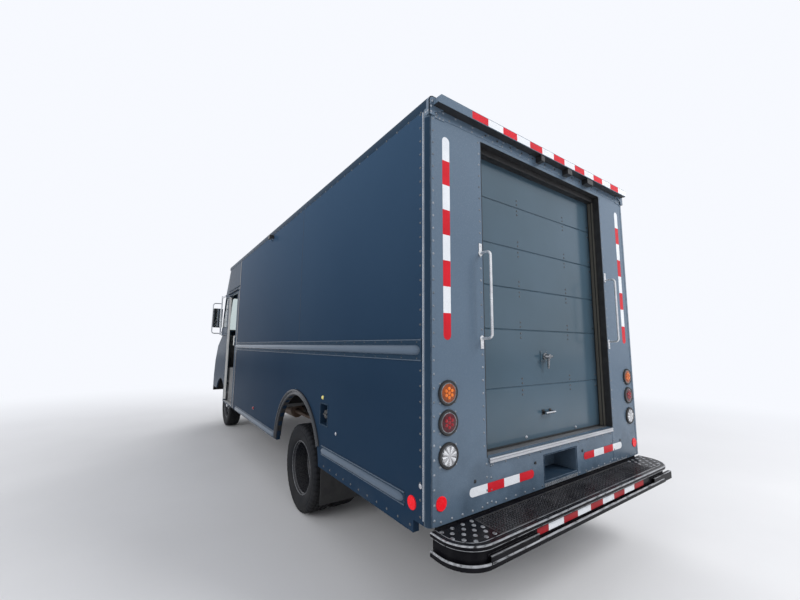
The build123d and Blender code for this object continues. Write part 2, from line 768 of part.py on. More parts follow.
def side_panel():
    """The left cargo wall with its wheel arch cut out."""
    rear = REAR_FACE - WALL
    skirt_end = REAR_FACE - SKIRT_BACK
    outline = [
        (B_POST, SIDE_BOTTOM_FRONT), (ARCH_Y, SIDE_BOTTOM_FRONT), (ARCH_Y, SKIRT_BOTTOM),
        (skirt_end, SKIRT_BOTTOM), (skirt_end, SIDE_BOTTOM_REAR), (rear, SIDE_BOTTOM_REAR),
        (rear, SIDE_TOP), (B_POST, SIDE_TOP),
    ]
    panel = prism_x(outline, INNER_HALF, HALF_WIDTH)
    panel -= arch_disc(ARCH_RADIUS, INNER_HALF - CUT, HALF_WIDTH + CUT)
    return panel - block(INNER_HALF - CUT, HALF_WIDTH + CUT, BOX_FRONT, BOX_REAR, 0, ARCH_Z)


def arch_disc(radius, x_low, x_high):
    """A disc of flats round the rear wheel arch's centre."""
    return flat_rod_x(radius, x_low, x_high, ARCH_Y, ARCH_Z, ARCH_FLATS)


def filler_cup(inset, x_low, x_high):
    """A box the size of the filler pocket, moved inward by inset."""
    return block(x_low, x_high, FILLER_FRONT + inset, FILLER_FRONT + FILLER_LENGTH - inset,
                 FILLER_BOTTOM + inset, FILLER_BOTTOM + FILLER_HEIGHT - inset)


def filler_pocket():
    """A sheet cup set in the side wall, with the filler cap inside."""
    deep = HALF_WIDTH - FILLER_DEPTH
    cup = filler_cup(0, deep, HALF_WIDTH)
    cup -= filler_cup(FILLER_SHEET, deep + FILLER_SHEET, HALF_WIDTH + CUT)
    middle_y = FILLER_FRONT + FILLER_LENGTH / 2
    middle_z = FILLER_BOTTOM + FILLER_HEIGHT / 2
    return cup + flat_rod_x(FILLER_CAP_RADIUS, deep, HALF_WIDTH - FILLER_CAP_INSET, middle_y, middle_z)


def eave_arc(y, radius, side):
    """Quarter arc of the eave on one side (1 or -1), from the roof down to the wall, in a plane across Y."""
    flat_x = HALF_WIDTH - ROOF_EDGE_RADIUS
    reach = radius * math.sqrt(0.5)
    start = (side * flat_x, y, SIDE_TOP + radius)
    middle = (side * (flat_x + reach), y, SIDE_TOP + reach)
    return Edge.make_three_point_arc(start, middle, (side * (flat_x + radius), y, SIDE_TOP))


def eave_edges(y):
    """Edges of the flat roof top and its two rounded eaves, in a plane across Y."""
    flat_x = HALF_WIDTH - ROOF_EDGE_RADIUS
    top = Edge.make_line((-flat_x, y, ROOF_TOP), (flat_x, y, ROOF_TOP))
    return [top, eave_arc(y, ROOF_EDGE_RADIUS, 1), eave_arc(y, ROOF_EDGE_RADIUS, -1)]


def roof():
    """Full-length roof sheet with rounded eaves."""
    y = A_POST
    flat_x = HALF_WIDTH - ROOF_EDGE_RADIUS
    edges = eave_edges(y)
    inner = ROOF_EDGE_RADIUS - ROOF_THICKNESS
    inner_x = flat_x + inner
    low = SIDE_TOP + inner
    edges += [
        Edge.make_line((HALF_WIDTH, y, SIDE_TOP), (inner_x, y, SIDE_TOP)),
        eave_arc(y, inner, 1),
        Edge.make_line((flat_x, y, low), (-flat_x, y, low)),
        eave_arc(y, inner, -1),
        Edge.make_line((-inner_x, y, SIDE_TOP), (-HALF_WIDTH, y, SIDE_TOP)),
    ]
    return Solid.extrude(Face(Wire(edges)), Vector(0, REAR_FACE - WALL - y, 0))


def rounded_rear(z_low, z_high):
    """The rear wall's plan, with a rounded post at each corner, as an upright slab."""
    front = REAR_FACE - WALL
    half = HALF_WIDTH
    flat_x = half - CORNER_POST_RADIUS
    flat_y = REAR_FACE - CORNER_POST_RADIUS
    reach = CORNER_POST_RADIUS * math.sqrt(0.5)
    z = z_low
    left_middle = (flat_x + reach, flat_y + reach, z)
    right_middle = (-flat_x - reach, flat_y + reach, z)
    edges = [
        Edge.make_line((-half, front, z), (half, front, z)),
        Edge.make_line((half, front, z), (half, flat_y, z)),
        Edge.make_three_point_arc((half, flat_y, z), left_middle, (flat_x, REAR_FACE, z)),
        Edge.make_line((flat_x, REAR_FACE, z), (-flat_x, REAR_FACE, z)),
        Edge.make_three_point_arc((-flat_x, REAR_FACE, z), right_middle, (-half, flat_y, z)),
        Edge.make_line((-half, flat_y, z), (-half, front, z)),
    ]
    return Solid.extrude(Face(Wire(edges)), Vector(0, 0, z_high - z_low))


def rear_frame():
    """The painted rear wall: corner posts, riveted plates, door opening with deep jambs, pocket opening."""
    front = REAR_FACE - WALL
    edges = eave_edges(front) + [
        Edge.make_line((HALF_WIDTH, front, SIDE_TOP), (HALF_WIDTH, front, SIDE_BOTTOM_REAR)),
        Edge.make_line((HALF_WIDTH, front, SIDE_BOTTOM_REAR), (-HALF_WIDTH, front, SIDE_BOTTOM_REAR)),
        Edge.make_line((-HALF_WIDTH, front, SIDE_BOTTOM_REAR), (-HALF_WIDTH, front, SIDE_TOP)),
    ]
    outline = Solid.extrude(Face(Wire(edges)), Vector(0, WALL, 0))
    wall = outline & rounded_rear(SIDE_BOTTOM_REAR, ROOF_TOP)
    opening = DOOR_OPENING_HALF
    plate_outer = HALF_WIDTH - CORNER_POST_RADIUS - PILLAR_PLATE_EDGE / 2
    proud = REAR_FACE + PLATE_PROUD
    plate = block(PILLAR_PLATE_INNER, plate_outer, REAR_FACE, proud, SIDE_BOTTOM_REAR, DOOR_OPENING_TOP)
    wall = wall + plate + mirrored(plate)
    header_low = DOOR_OPENING_TOP + HEADER_PLATE_LOW
    wall += block(-plate_outer, plate_outer, REAR_FACE, proud, header_low, DRIP_RAIL_LOW - SEAT_GAP)
    wall -= block(-opening, opening, front - CUT, proud + CUT, FLOOR_TOP, DOOR_OPENING_TOP)
    wall -= block(-POCKET_HALF, POCKET_HALF, front - CUT, REAR_FACE + CUT, POCKET_BOTTOM, POCKET_TOP)
    jamb_low = DOOR_FACE - ROLL_DOOR_THICKNESS
    jamb_top = DOOR_OPENING_TOP + JAMB_THICKNESS
    jamb = block(opening, opening + JAMB_THICKNESS, jamb_low, front, FLOOR_TOP, jamb_top)
    soffit = block(-opening, opening, jamb_low, front, DOOR_OPENING_TOP, jamb_top)
    return wall + jamb + mirrored(jamb) + soffit


def step_pocket():
    """The foot recess in the rear sill: a five-sided sheet box."""
    front = REAR_FACE - POCKET_DEPTH
    wall = POCKET_WALL
    outer = block(-POCKET_HALF, POCKET_HALF, front, REAR_FACE, POCKET_BOTTOM, POCKET_TOP)
    inner = block(-POCKET_HALF + wall, POCKET_HALF - wall, front + wall, REAR_FACE + CUT,
                  POCKET_BOTTOM + wall, POCKET_TOP - wall)
    return outer - inner


def threshold():
    """Bright aluminium strip with two ribs along the door sill."""
    top = FLOOR_TOP + THRESHOLD_LIFT
    low = top - THRESHOLD_HEIGHT
    y = REAR_FACE
    proud = y + THRESHOLD_PROUD
    rib = THRESHOLD_RIB
    middle = (top + low) / 2
    profile = [
        (y, low), (proud, low), (proud, middle - rib), (proud - rib, middle), (proud, middle + rib),
        (proud, top - rib), (proud - rib, top), (y, top),
    ]
    half = PILLAR_PLATE_INNER - SEAT_GAP
    return prism_x(profile, -half, half)


def roll_door():
    """Roll-up door of six hinged panels; the seams are grooves."""
    low = DOOR_FACE - ROLL_DOOR_THICKNESS
    points = [(low, FLOOR_TOP), (DOOR_FACE, FLOOR_TOP)]
    for z in DOOR_SEAMS:
        points += [(DOOR_FACE, z - SEAM_WIDTH / 2), (DOOR_FACE - SEAM_DEPTH, z)]
        points.append((DOOR_FACE, z + SEAM_WIDTH / 2))
    points += [(DOOR_FACE, DOOR_OPENING_TOP), (low, DOOR_OPENING_TOP)]
    return prism_x(points, -DOOR_OPENING_HALF, DOOR_OPENING_HALF)


def grab_handle():
    """Vertical bent tube with bolted feet beside the rear door."""
    face = REAR_FACE + PLATE_PROUD
    out = REAR_FACE + GRAB_STAND
    route = [
        (GRAB_X, face, GRAB_LOW), (GRAB_X, out, GRAB_LOW), (GRAB_X, out, GRAB_HIGH),
        (GRAB_X, face, GRAB_HIGH),
    ]
    bar = tube_along(route, HANDLE_TUBE, GRAB_BEND)
    for z in (GRAB_LOW, GRAB_HIGH):
        bar += flat_rod_y(FOOT_RADIUS, face, face + FOOT_THICKNESS, GRAB_X, z)
    return bar


def door_latch():
    """Latch plate with a T handle and hanging lever, and a pull bar on two feet below it."""
    face = DOOR_FACE
    out = face + LATCH_STAND
    plate = block(-LATCH_HALF_WIDTH, LATCH_HALF_WIDTH, face, face + LATCH_PLATE,
                  LATCH_Z - LATCH_HALF_HEIGHT, LATCH_Z + LATCH_HALF_HEIGHT)
    plate += flat_rod_y(LATCH_BAR, face, out, 0, LATCH_Z, TUBE_FLATS)
    half = LATCH_BAR_HALF
    plate += block(-half, half, out, out + LATCH_BAR, LATCH_Z - LATCH_BAR, LATCH_Z + LATCH_BAR)
    plate += block(-LATCH_BAR, LATCH_BAR, out, out + LATCH_BAR, LATCH_Z - LATCH_LEVER, LATCH_Z)
    bar_front = face + PULL_STAND - PULL_BAR
    grip = block(-PULL_HALF, PULL_HALF, bar_front, face + PULL_STAND,
                 PULL_Z - PULL_BAR / 2, PULL_Z + PULL_BAR / 2)
    for x in (-PULL_HALF, PULL_HALF - PULL_FOOT):
        grip += block(x, x + PULL_FOOT, face, bar_front, PULL_Z - PULL_FOOT, PULL_Z + PULL_FOOT / 2)
    return plate, grip


def step_plan(inset, z_low, z_high):
    """A slab with the bumper's rounded plan, moved inward by inset and open to the body."""
    half = STEP_BUMPER_HALF - inset
    rear = STEP_REAR - inset
    turn = STEP_BUMPER_CORNER - inset
    corner = []
    for index in range(CORNER_FLATS + 1):
        angle = math.pi / 2 * index / CORNER_FLATS
        corner.append((half - turn + turn * math.cos(angle), rear - turn + turn * math.sin(angle)))
    left = [(half, REAR_FACE)] + corner
    right = [(-x, y) for x, y in reversed(left)]
    return prism_z(left + right, z_low, z_high)


def rear_step():
    """Step bumper: deck with a nosing, recessed web, lower lip wrapping the corners, and end channels."""
    top = STEP_BUMPER_TOP
    low = STEP_BUMPER_LOW
    sheet = STEP_SHEET
    web = WEB_INSET + sheet
    nosing_low = top - NOSING_HEIGHT
    deck = step_plan(0, nosing_low, top)
    nosing = []
    for edge in deck.edges():
        middle = edge.center()
        upright = nosing_low + CUT < middle.Z < top - CUT
        if not upright and middle.Y > REAR_FACE + CUT:
            nosing.append(edge)
    deck = chamfer(nosing, NOSING_CHAMFER)
    deck -= step_plan(NOSING_WIDTH, nosing_low - CUT, top - sheet)
    deck += step_plan(WEB_INSET, low, top - sheet) - step_plan(web, low - CUT, top)
    deck += step_plan(0, low, low + sheet) - step_plan(web, low - CUT, low + sheet + CUT)
    deck += step_plan(0, low, low + LIP_HEIGHT) - step_plan(sheet, low - CUT, low + LIP_HEIGHT + CUT)
    channel = [
        (STEP_REAR - web + CUT, END_CHANNEL_TOP), (STEP_REAR, END_CHANNEL_TOP), (STEP_REAR, END_CHANNEL_LOW),
        (STEP_REAR - sheet, END_CHANNEL_LOW), (STEP_REAR - sheet, END_CHANNEL_TOP - sheet),
        (STEP_REAR - web + CUT, END_CHANNEL_TOP - sheet),
    ]
    for x_low, x_high in END_CHANNELS:
        deck += prism_x(channel, x_low, x_high)
    deck -= block(-TREAD_HALF, TREAD_HALF, REAR_FACE + TREAD_FRONT, STEP_REAR - TREAD_REAR,
                  top - sheet - CUT, top + CUT)
    arm_low = low + STEP_ARM_LIFT
    arm_top = top + TREAD_PROUD - TREAD_HEIGHT - TREAD_ROD - 2 * SEAT_GAP
    plate_y = RAIL_REAR + 2 * RAIL_WEB
    plate_top = RAIL_TOP - 2 * RAIL_WEB
    for x in (-RAIL_OUTER, RAIL_OUTER - STEP_ARM_WIDTH):
        deck += block(x, x + STEP_ARM_WIDTH, RAIL_REAR, STEP_REAR - web + CUT, arm_low, arm_top)
        deck += block(x, x + STEP_ARM_WIDTH, RAIL_REAR, plate_y, arm_low, plate_top)
    return deck


def step_tread():
    """Open safety grating: a frame of close bars across the step, on cross rods below."""
    y_low = REAR_FACE + TREAD_FRONT
    y_high = STEP_REAR - TREAD_REAR
    top = STEP_BUMPER_TOP + TREAD_PROUD
    low = top - TREAD_HEIGHT
    edge = TREAD_FRAME
    grating = block(-TREAD_HALF, TREAD_HALF, y_low, y_high, low, top)
    inner = 2 * (TREAD_HALF - edge)
    count = int((inner + TREAD_BAR) / TREAD_PITCH)
    pitch = (inner + TREAD_BAR) / count
    slots = []
    for index in range(count):
        x = -TREAD_HALF + edge + index * pitch
        slots.append(block(x, x + pitch - TREAD_BAR, y_low + edge, y_high - edge, low - CUT, top + CUT))
    grating = grating.cut(*slots)
    rods = []
    spacing = (y_high - y_low) / (TREAD_RODS + 1)
    rod_top = low - SEAT_GAP
    half = TREAD_ROD / 2
    for index in range(TREAD_RODS):
        y = y_low + spacing * (index + 1)
        rods.append(block(-TREAD_HALF, TREAD_HALF, y - half, y + half, rod_top - TREAD_ROD, rod_top))
    return grating, rods


def rear_lamps():
    """Three round lamps and a reflector on the left pillar, and a reflector on the side wall."""
    face = REAR_FACE + PLATE_PROUD
    flange = face + LAMP_FLANGE
    lens_radius = LAMP_RADIUS - LAMP_LENS_INSET
    pieces = []
    for z in LAMP_HEIGHTS:
        lamp = flat_rod_y(LAMP_RADIUS, face, flange, LAMP_X, z)
        lamp += flat_rod_y(lens_radius, flange, face + LAMP_PROUD, LAMP_X, z)
        pieces.append(lamp)
    pieces.append(flat_rod_y(REFLECTOR_RADIUS, face, face + REFLECTOR_THICKNESS, REFLECTOR_X, REFLECTOR_Z))
    pieces.append(flat_rod_x(REFLECTOR_RADIUS, HALF_WIDTH, HALF_WIDTH + REFLECTOR_THICKNESS,
                             REAR_FACE - SIDE_REFLECTOR_BACK, SIDE_REFLECTOR_Z))
    return pieces


def rub_rail(y_low, y_high, z, flange, half, proud):
    """A pressed rail with a rounded bulge between two flanges."""
    skin = RAIL_SKIN
    # columns: share of the bulge's half height, share of its stand beyond the flange
    bulge = [(1.0, 0.0), (0.86, 0.55), (0.55, 0.88), (0.2, 1.0)]
    low = [(HALF_WIDTH + skin + (proud - skin) * out, z - half * up) for up, out in bulge]
    high = [(x, 2 * z - height) for x, height in reversed(low)]
    profile = [(HALF_WIDTH, z - flange), (HALF_WIDTH + skin, z - flange)] + low + high
    profile += [(HALF_WIDTH + skin, z + flange), (HALF_WIDTH, z + flange)]
    return prism_y(profile, y_low, y_high)


def rub_rails():
    """Belt rail and two lower rails on the left wall."""
    arch_front = ARCH_Y - ARCH_RADIUS - FLARE_WIDTH
    arch_rear = ARCH_Y + ARCH_RADIUS + FLARE_WIDTH
    small = (SMALL_RAIL_FLANGE, SMALL_RAIL_HALF, SMALL_RAIL_PROUD)
    # columns: front y, rear y, height, flange half height, bulge half height, stand
    table = [
        (B_POST + BELT_START, REAR_FACE - BELT_END, BELT_Z, BELT_FLANGE, BELT_BULGE, BELT_PROUD),
        (arch_rear + RAIL_TO_FLARE, REAR_FACE - LOWER_RAIL_END, LOWER_RAIL_Z) + small,
        (B_POST + ROCKER_START, arch_front - RAIL_TO_FLARE, ROCKER_Z) + small,
    ]
    return [rub_rail(*row) for row in table]


def arch_flare():
    """Raised trim round the left wheel arch: a flat band with a ridge along its outer edge."""
    x = HALF_WIDTH
    outer = ARCH_RADIUS + FLARE_WIDTH
    ridge = outer - FLARE_RIDGE_WIDTH
    ring = arch_disc(outer, x, x + FLARE_RIDGE)
    ring -= arch_disc(ridge, x + FLARE_BASE, x + FLARE_RIDGE + CUT)
    x_low = x - CUT
    x_high = x + FLARE_RIDGE + CUT
    ring -= arch_disc(ARCH_RADIUS, x_low, x_high)
    low = ARCH_Z - 2 * outer
    ring -= block(x_low, x_high, ARCH_Y - 2 * outer, ARCH_Y, low, FLARE_FRONT_FOOT)
    return ring - block(x_low, x_high, ARCH_Y, ARCH_Y + 2 * outer, low, FLARE_REAR_FOOT)


def door_frame():
    """Post-and-header frame round the left cab doorway."""
    frame = block(INNER_HALF, HALF_WIDTH, A_POST, B_POST, SIDE_BOTTOM_FRONT, SIDE_TOP)
    return frame - block(INNER_HALF - CUT, HALF_WIDTH + CUT, DOORWAY_FRONT, DOORWAY_REAR,
                         STEP_TOP, DOORWAY_TOP)


def door_track():
    """Inverted channel inside the left wall that the sliding door hangs in."""
    x_low = DOOR_OUTER - DOOR_THICKNESS - TRACK_WALL
    y_low = DOOR_SHUT_FRONT - TRACK_END
    y_high = DOOR_OPEN_REAR + TRACK_END
    track = block(x_low, INNER_HALF, y_low, y_high, TRACK_TOP - TRACK_DEPTH, TRACK_TOP)
    slot = TONGUE_WIDTH / 2 + TONGUE_GAP
    y_low += TRACK_END_WALL
    y_high -= TRACK_END_WALL
    return track - block(DOOR_MIDDLE_X - slot, DOOR_MIDDLE_X + slot, y_low, y_high,
                         TRACK_TOP - TRACK_DEPTH - CUT, TRACK_TOP - TRACK_WALL)


def sliding_door():
    """Left cab door with its window cut out, hanging tongues and hooked handle, and its glass, slid back."""
    y_low = DOOR_OPEN_FRONT
    y_high = DOOR_OPEN_REAR
    x_low = DOOR_OUTER - DOOR_THICKNESS
    window = (y_low + DOOR_FRAME, y_high - DOOR_FRAME, WINDOW_BOTTOM, DOOR_TOP - DOOR_FRAME)
    door = block(x_low, DOOR_OUTER, y_low, y_high, DOOR_BOTTOM, DOOR_TOP)
    door -= block(x_low - CUT, DOOR_OUTER + CUT, *window)
    half = TONGUE_WIDTH / 2
    for y in (y_low + TONGUE_INSET, y_high - TONGUE_INSET - TONGUE_LENGTH):
        door += block(DOOR_MIDDLE_X - half, DOOR_MIDDLE_X + half, y, y + TONGUE_LENGTH, DOOR_TOP,
                      TRACK_TOP - TRACK_WALL - SEAT_GAP)
    hook_y = y_low + HOOK_INSET
    hook_rear = hook_y + HOOK_LENGTH
    out = DOOR_OUTER + HOOK_STAND
    hook_top = HOOK_LOW + HOOK_HEIGHT
    door += block(out - HOOK_GRIP, out, hook_y, hook_rear, HOOK_LOW, hook_top)
    door += block(DOOR_OUTER, out, hook_y, hook_rear, hook_top - HOOK_FOOT, hook_top)
    glass = block(DOOR_MIDDLE_X - GLASS_THICKNESS / 2, DOOR_MIDDLE_X + GLASS_THICKNESS / 2, *window)
    return door, glass


def screen_point(share):
    """The (y, z) point a share of the way down the windscreen's slope."""
    return HEADER_Y + (COWL_Y - HEADER_Y) * share, HEADER_Z - (HEADER_Z - COWL_Z) * share


def quarter_outline():
    """Side outline of the small window between windscreen and door."""
    z_top = screen_point(SCREEN_TOP_SHARE)[1]
    y_low, z_low = screen_point(SCREEN_LOW_SHARE)
    rear = A_POST - QUARTER_REAR
    high = z_top - QUARTER_EDGE
    low = z_low + QUARTER_EDGE
    return [(rear, high), (HEADER_Y + QUARTER_TOP_FRONT, high), (y_low + QUARTER_LOW_FRONT, low), (rear, low)]


def screen_halves():
    """Sideways reach of the two windscreen panes."""
    half = HALF_WIDTH - CORNER_RADIUS - SCREEN_POST
    return (-half, -SCREEN_BAR_HALF), (SCREEN_BAR_HALF, half)


def cab_front():
    """Windscreen surround, header and quarter panels, open below and behind."""
    outline = [
        (A_POST, ROOF_TOP), (HEADER_TOP_Y, ROOF_TOP), (HEADER_Y, HEADER_Z), (COWL_Y, COWL_Z),
        (A_POST, COWL_Z),
    ]
    shell = prism_x(outline, -HALF_WIDTH, HALF_WIDTH)
    corners = []
    for edge in shell.edges():
        middle = edge.center()
        outer = abs(abs(middle.X) - HALF_WIDTH) < CUT
        sloping = COWL_Z + CUT < middle.Z < ROOF_TOP - CUT
        if outer and sloping and middle.Y < A_POST - CUT:
            corners.append(edge)
    shell = fillet(corners, CORNER_RADIUS)
    hollow = [
        (A_POST + CUT, ROOF_UNDERSIDE), (HEADER_TOP_Y + WALL / 2, ROOF_UNDERSIDE),
        (HEADER_Y + WALL, HEADER_Z), (COWL_Y + WALL, COWL_Z - CUT), (A_POST + CUT, COWL_Z - CUT),
    ]
    shell -= prism_x(hollow, -INNER_HALF, INNER_HALF)
    y_top, z_top = screen_point(SCREEN_TOP_SHARE)
    y_low, z_low = screen_point(SCREEN_LOW_SHARE)
    deep = 2 * CORNER_RADIUS
    opening = [(y_top - deep, z_top), (y_low - deep, z_low), (y_low + deep, z_low), (y_top + deep, z_top)]
    for x_low, x_high in screen_halves():
        shell -= prism_x(opening, x_low, x_high)
    return shell - prism_x(quarter_outline(), -HALF_WIDTH - CUT, HALF_WIDTH + CUT)


def windscreen():
    """Two flat panes and two quarter panes."""
    y_top, z_top = screen_point(SCREEN_TOP_SHARE)
    y_low, z_low = screen_point(SCREEN_LOW_SHARE)
    y_top += SCREEN_INSET
    y_low += SCREEN_INSET
    thick = GLASS_THICKNESS
    pane = [(y_top, z_top), (y_top + thick, z_top), (y_low + thick, z_low), (y_low, z_low)]
    panes = [prism_x(pane, x_low, x_high) for x_low, x_high in screen_halves()]
    x = HALF_WIDTH - WALL / 2
    quarter = prism_x(quarter_outline(), x, x + thick)
    return panes + [quarter, mirrored(quarter)]


def nose_outline(inset, rise, drop):
    """Side outline of the nose, moved inward by inset, with its rear top and bottom edges moved apart."""
    top = COWL_Z + rise
    low = NOSE_BOTTOM_Z - drop
    front = NOSE_FRONT_Y + inset
    return [
        (A_POST, top), (COWL_Y, top), (COWL_Y, COWL_Z - inset), (HOOD_MID_Y + inset / 2, HOOD_MID_Z - inset),
        (NOSE_TOP_Y + inset, NOSE_TOP_Z - inset / 2), (front, NOSE_FRONT_Z), (front, low), (A_POST, low),
    ]


def nose():
    """Nose shell with wheel arches, hood opening, grille opening and open back."""
    inner = NOSE_INNER
    shell = prism_x(nose_outline(0, 0, 0), -NOSE_HALF, NOSE_HALF)
    shell -= prism_x(nose_outline(NOSE_WALL, HOOD_CUT_OVER, CUT), -inner, inner)
    shell -= block(-inner, inner, COWL_Y, A_POST + CUT, NOSE_BOTTOM_Z - CUT, COWL_Z + CUT)
    arch_half = NOSE_HALF + CUT
    shell -= flat_rod_x(FRONT_ARCH_RADIUS, -arch_half, arch_half, FRONT_AXLE_Y, TYRE_RADIUS, ARCH_FLATS)
    rear = COWL_Y - COWL_STRIP
    opening = [
        (rear, COWL_Z + HOOD_CUT_OVER), (rear, COWL_Z - HOOD_CUT_DEPTH),
        (NOSE_TOP_Y + HOOD_CUT_FRONT, NOSE_TOP_Z - HOOD_CUT_FRONT),
        (NOSE_TOP_Y - HOOD_CUT_DEPTH, NOSE_TOP_Z + HOOD_CUT_OVER),
        (HOOD_MID_Y - HOOD_CUT_DEPTH, HOOD_MID_Z + HOOD_CUT_DEPTH),
    ]
    shell -= prism_x(opening, -HOOD_HALF, HOOD_HALF)
    front = NOSE_FRONT_Y - CUT
    back = NOSE_FRONT_Y + 2 * CORNER_RADIUS
    shell -= block(-GRILLE_HALF, GRILLE_HALF, front, back, GRILLE_LOW, GRILLE_HIGH)
    rail_room = RAIL_TOP + NOSE_RAIL_ROOM
    shell -= block(-inner, inner, front, NOSE_FRONT_Y + CORNER_RADIUS, NOSE_BOTTOM_Z - CUT, rail_room)
    bezel = headlamp_bezel()
    return shell - bezel - mirrored(bezel) + hood_ledge()


def hood_corners():
    """Side outline of the hood: three corners along its top, then three along its underside."""
    slope = (COWL_Z - HOOD_MID_Z) / (COWL_Y - HOOD_MID_Y)
    rear_y = COWL_Y - COWL_STRIP - HOOD_GAP
    rear_z = HOOD_MID_Z + slope * (rear_y - HOOD_MID_Y) + HOOD_LIFT
    middle_z = HOOD_MID_Z + HOOD_LIFT
    front_y = NOSE_TOP_Y + HOOD_FRONT_GAP
    front_z = NOSE_TOP_Z + HOOD_FRONT_RISE
    low = HOOD_THICKNESS
    return [
        (rear_y, rear_z), (HOOD_MID_Y, middle_z), (front_y, front_z),
        (front_y + HOOD_LIP, front_z - HOOD_LIP / 3), (HOOD_MID_Y + low / 2, middle_z - low),
        (rear_y, rear_z - low),
    ]


def hood():
    """Lift-up lid over the engine, hinged at the cowl."""
    return prism_x(hood_corners(), -HOOD_HALF + HOOD_GAP, HOOD_HALF - HOOD_GAP)


def hood_ledge():
    """Folded strip under the hood's rear edge, which carries its hinge."""
    corners = hood_corners()
    middle_y, middle_z = corners[4]
    rear_y, rear_z = corners[5]
    slope = (rear_z - middle_z) / (rear_y - middle_y)
    front_y = rear_y - LEDGE_REACH
    front_z = rear_z - slope * LEDGE_REACH
    back_y = COWL_Y - RUNNING_GAP
    back_z = rear_z + slope * (back_y - rear_y)
    outline = [
        (front_y, front_z - SEAT_GAP), (back_y, back_z - SEAT_GAP), (back_y, back_z - LEDGE_DEPTH),
        (front_y, front_z - LEDGE_DEPTH),
    ]
    return prism_x(outline, -HOOD_HALF - LEDGE_OVER, HOOD_HALF + LEDGE_OVER)


def grille():
    """Black slatted grille in the nose opening."""
    front = NOSE_FRONT_Y - GRILLE_PROUD
    rear = NOSE_FRONT_Y + GRILLE_DEPTH
    edge = GRILLE_FRAME
    inner = GRILLE_HALF - edge
    frame = block(-GRILLE_HALF, GRILLE_HALF, front, rear, GRILLE_LOW, GRILLE_HIGH)
    frame -= block(-inner, inner, front - CUT, rear + CUT, GRILLE_LOW + edge, GRILLE_HIGH - edge)
    pitch = (GRILLE_HIGH - GRILLE_LOW - 2 * edge) / GRILLE_SLATS
    near = NOSE_FRONT_Y
    far = near + SLAT_DEPTH
    thick = SLAT_THICKNESS
    for index in range(1, GRILLE_SLATS):
        z = GRILLE_LOW + edge + index * pitch
        slat = [(near, z - SLAT_DROP), (far, z), (far, z + thick), (near, z + thick - SLAT_DROP)]
        frame += prism_x(slat, -inner, inner)
    return frame


def headlamp_bezel():
    """Square surround of the left headlamp."""
    x = HEADLAMP_X
    y = NOSE_FRONT_Y
    z = HEADLAMP_Z
    return block(x - BEZEL_HALF_WIDTH, x + BEZEL_HALF_WIDTH, y - BEZEL_PROUD, y + BEZEL_DEPTH,
                 z - BEZEL_HALF_HEIGHT, z + BEZEL_HALF_HEIGHT)


def headlamp():
    """Round headlamp in its square surround."""
    front = NOSE_FRONT_Y - BEZEL_PROUD
    lens = flat_rod_y(HEADLAMP_RADIUS, front - LENS_PROUD, front, HEADLAMP_X, HEADLAMP_Z)
    return headlamp_bezel() + lens


def bumper_plan(half, front, rear, sweep):
    """Plan of the front bumper with a swept corner at each end."""
    taper = half - BUMPER_TAPER
    back = front + sweep
    return [(-half, rear), (-half, back), (-taper, front), (taper, front), (half, back), (half, rear)]


def front_bumper():
    """Pressed channel bumper with swept ends, bolted to the rails."""
    sheet = BUMPER_SHEET
    outer = bumper_plan(BUMPER_HALF, BUMPER_FRONT_Y, BUMPER_REAR_Y, BUMPER_SWEEP)
    inner = bumper_plan(BUMPER_HALF - sheet, BUMPER_FRONT_Y + sheet, BUMPER_REAR_Y + CUT, BUMPER_SWEEP)
    bumper = prism_z(outer, BUMPER_LOW, BUMPER_HIGH) - prism_z(inner, BUMPER_LOW + sheet, BUMPER_HIGH - sheet)
    for x in (-RAIL_OUTER, RAIL_OUTER - RAIL_FLANGE):
        bumper += block(x, x + RAIL_FLANGE, BUMPER_FRONT_Y + sheet, BUMPER_REAR_Y,
                        RAIL_BOTTOM + BUMPER_BRACKET, RAIL_TOP - BUMPER_BRACKET)
    return bumper


def mirror_set():
    """Tubular loop with a tall mirror head, fixed to the cab corner by two brackets."""
    post_x = HALF_WIDTH + MIRROR_POST_X
    out_x = HALF_WIDTH + MIRROR_REACH
    head_x = HALF_WIDTH + MIRROR_HEAD_X
    y = MIRROR_Y
    low = MIRROR_LOW
    high = MIRROR_HIGH
    route = [(post_x, y, low), (out_x, y, low), (out_x, y, high), (post_x, y, high)]
    loop = tube_along(route, MIRROR_TUBE, MIRROR_BEND)
    post_low = low - 2 * MIRROR_POST
    post_top = BRACKETS[-1][0] + 2 * MIRROR_POST
    loop += flat_rod_z(MIRROR_POST, post_low, post_top, post_x, y, TUBE_FLATS)
    half = MIRROR_HEAD_HALF
    loop += block(head_x - half, head_x + half, y - MIRROR_HEAD_FRONT, y + MIRROR_HEAD_BACK,
                  MIRROR_HEAD_LOW, MIRROR_HEAD_HIGH)
    for z, back in BRACKETS:
        loop += block(HALF_WIDTH, post_x, y - MIRROR_POST / 2, y + back, z - BRACKET_HALF, z + BRACKET_HALF)
    return loop


def wheel_tyre(middle):
    """One tyre about the X axis: tread, two shoulders, two sidewalls and the bead seat."""
    tread = TREAD_WIDTH / 2
    half = TYRE_WIDTH / 2
    bead = BEAD_WIDTH / 2
    widest = TYRE_RADIUS - SHOULDER_DROP
    seat = RIM_RADIUS + SEAT_GAP
    profile = [
        (middle - tread, TYRE_RADIUS), (middle + tread, TYRE_RADIUS), (middle + half, widest),
        (middle + bead, seat), (middle - bead, seat), (middle - half, widest),
    ]
    return flat_ring(profile, WHEEL_FLATS)


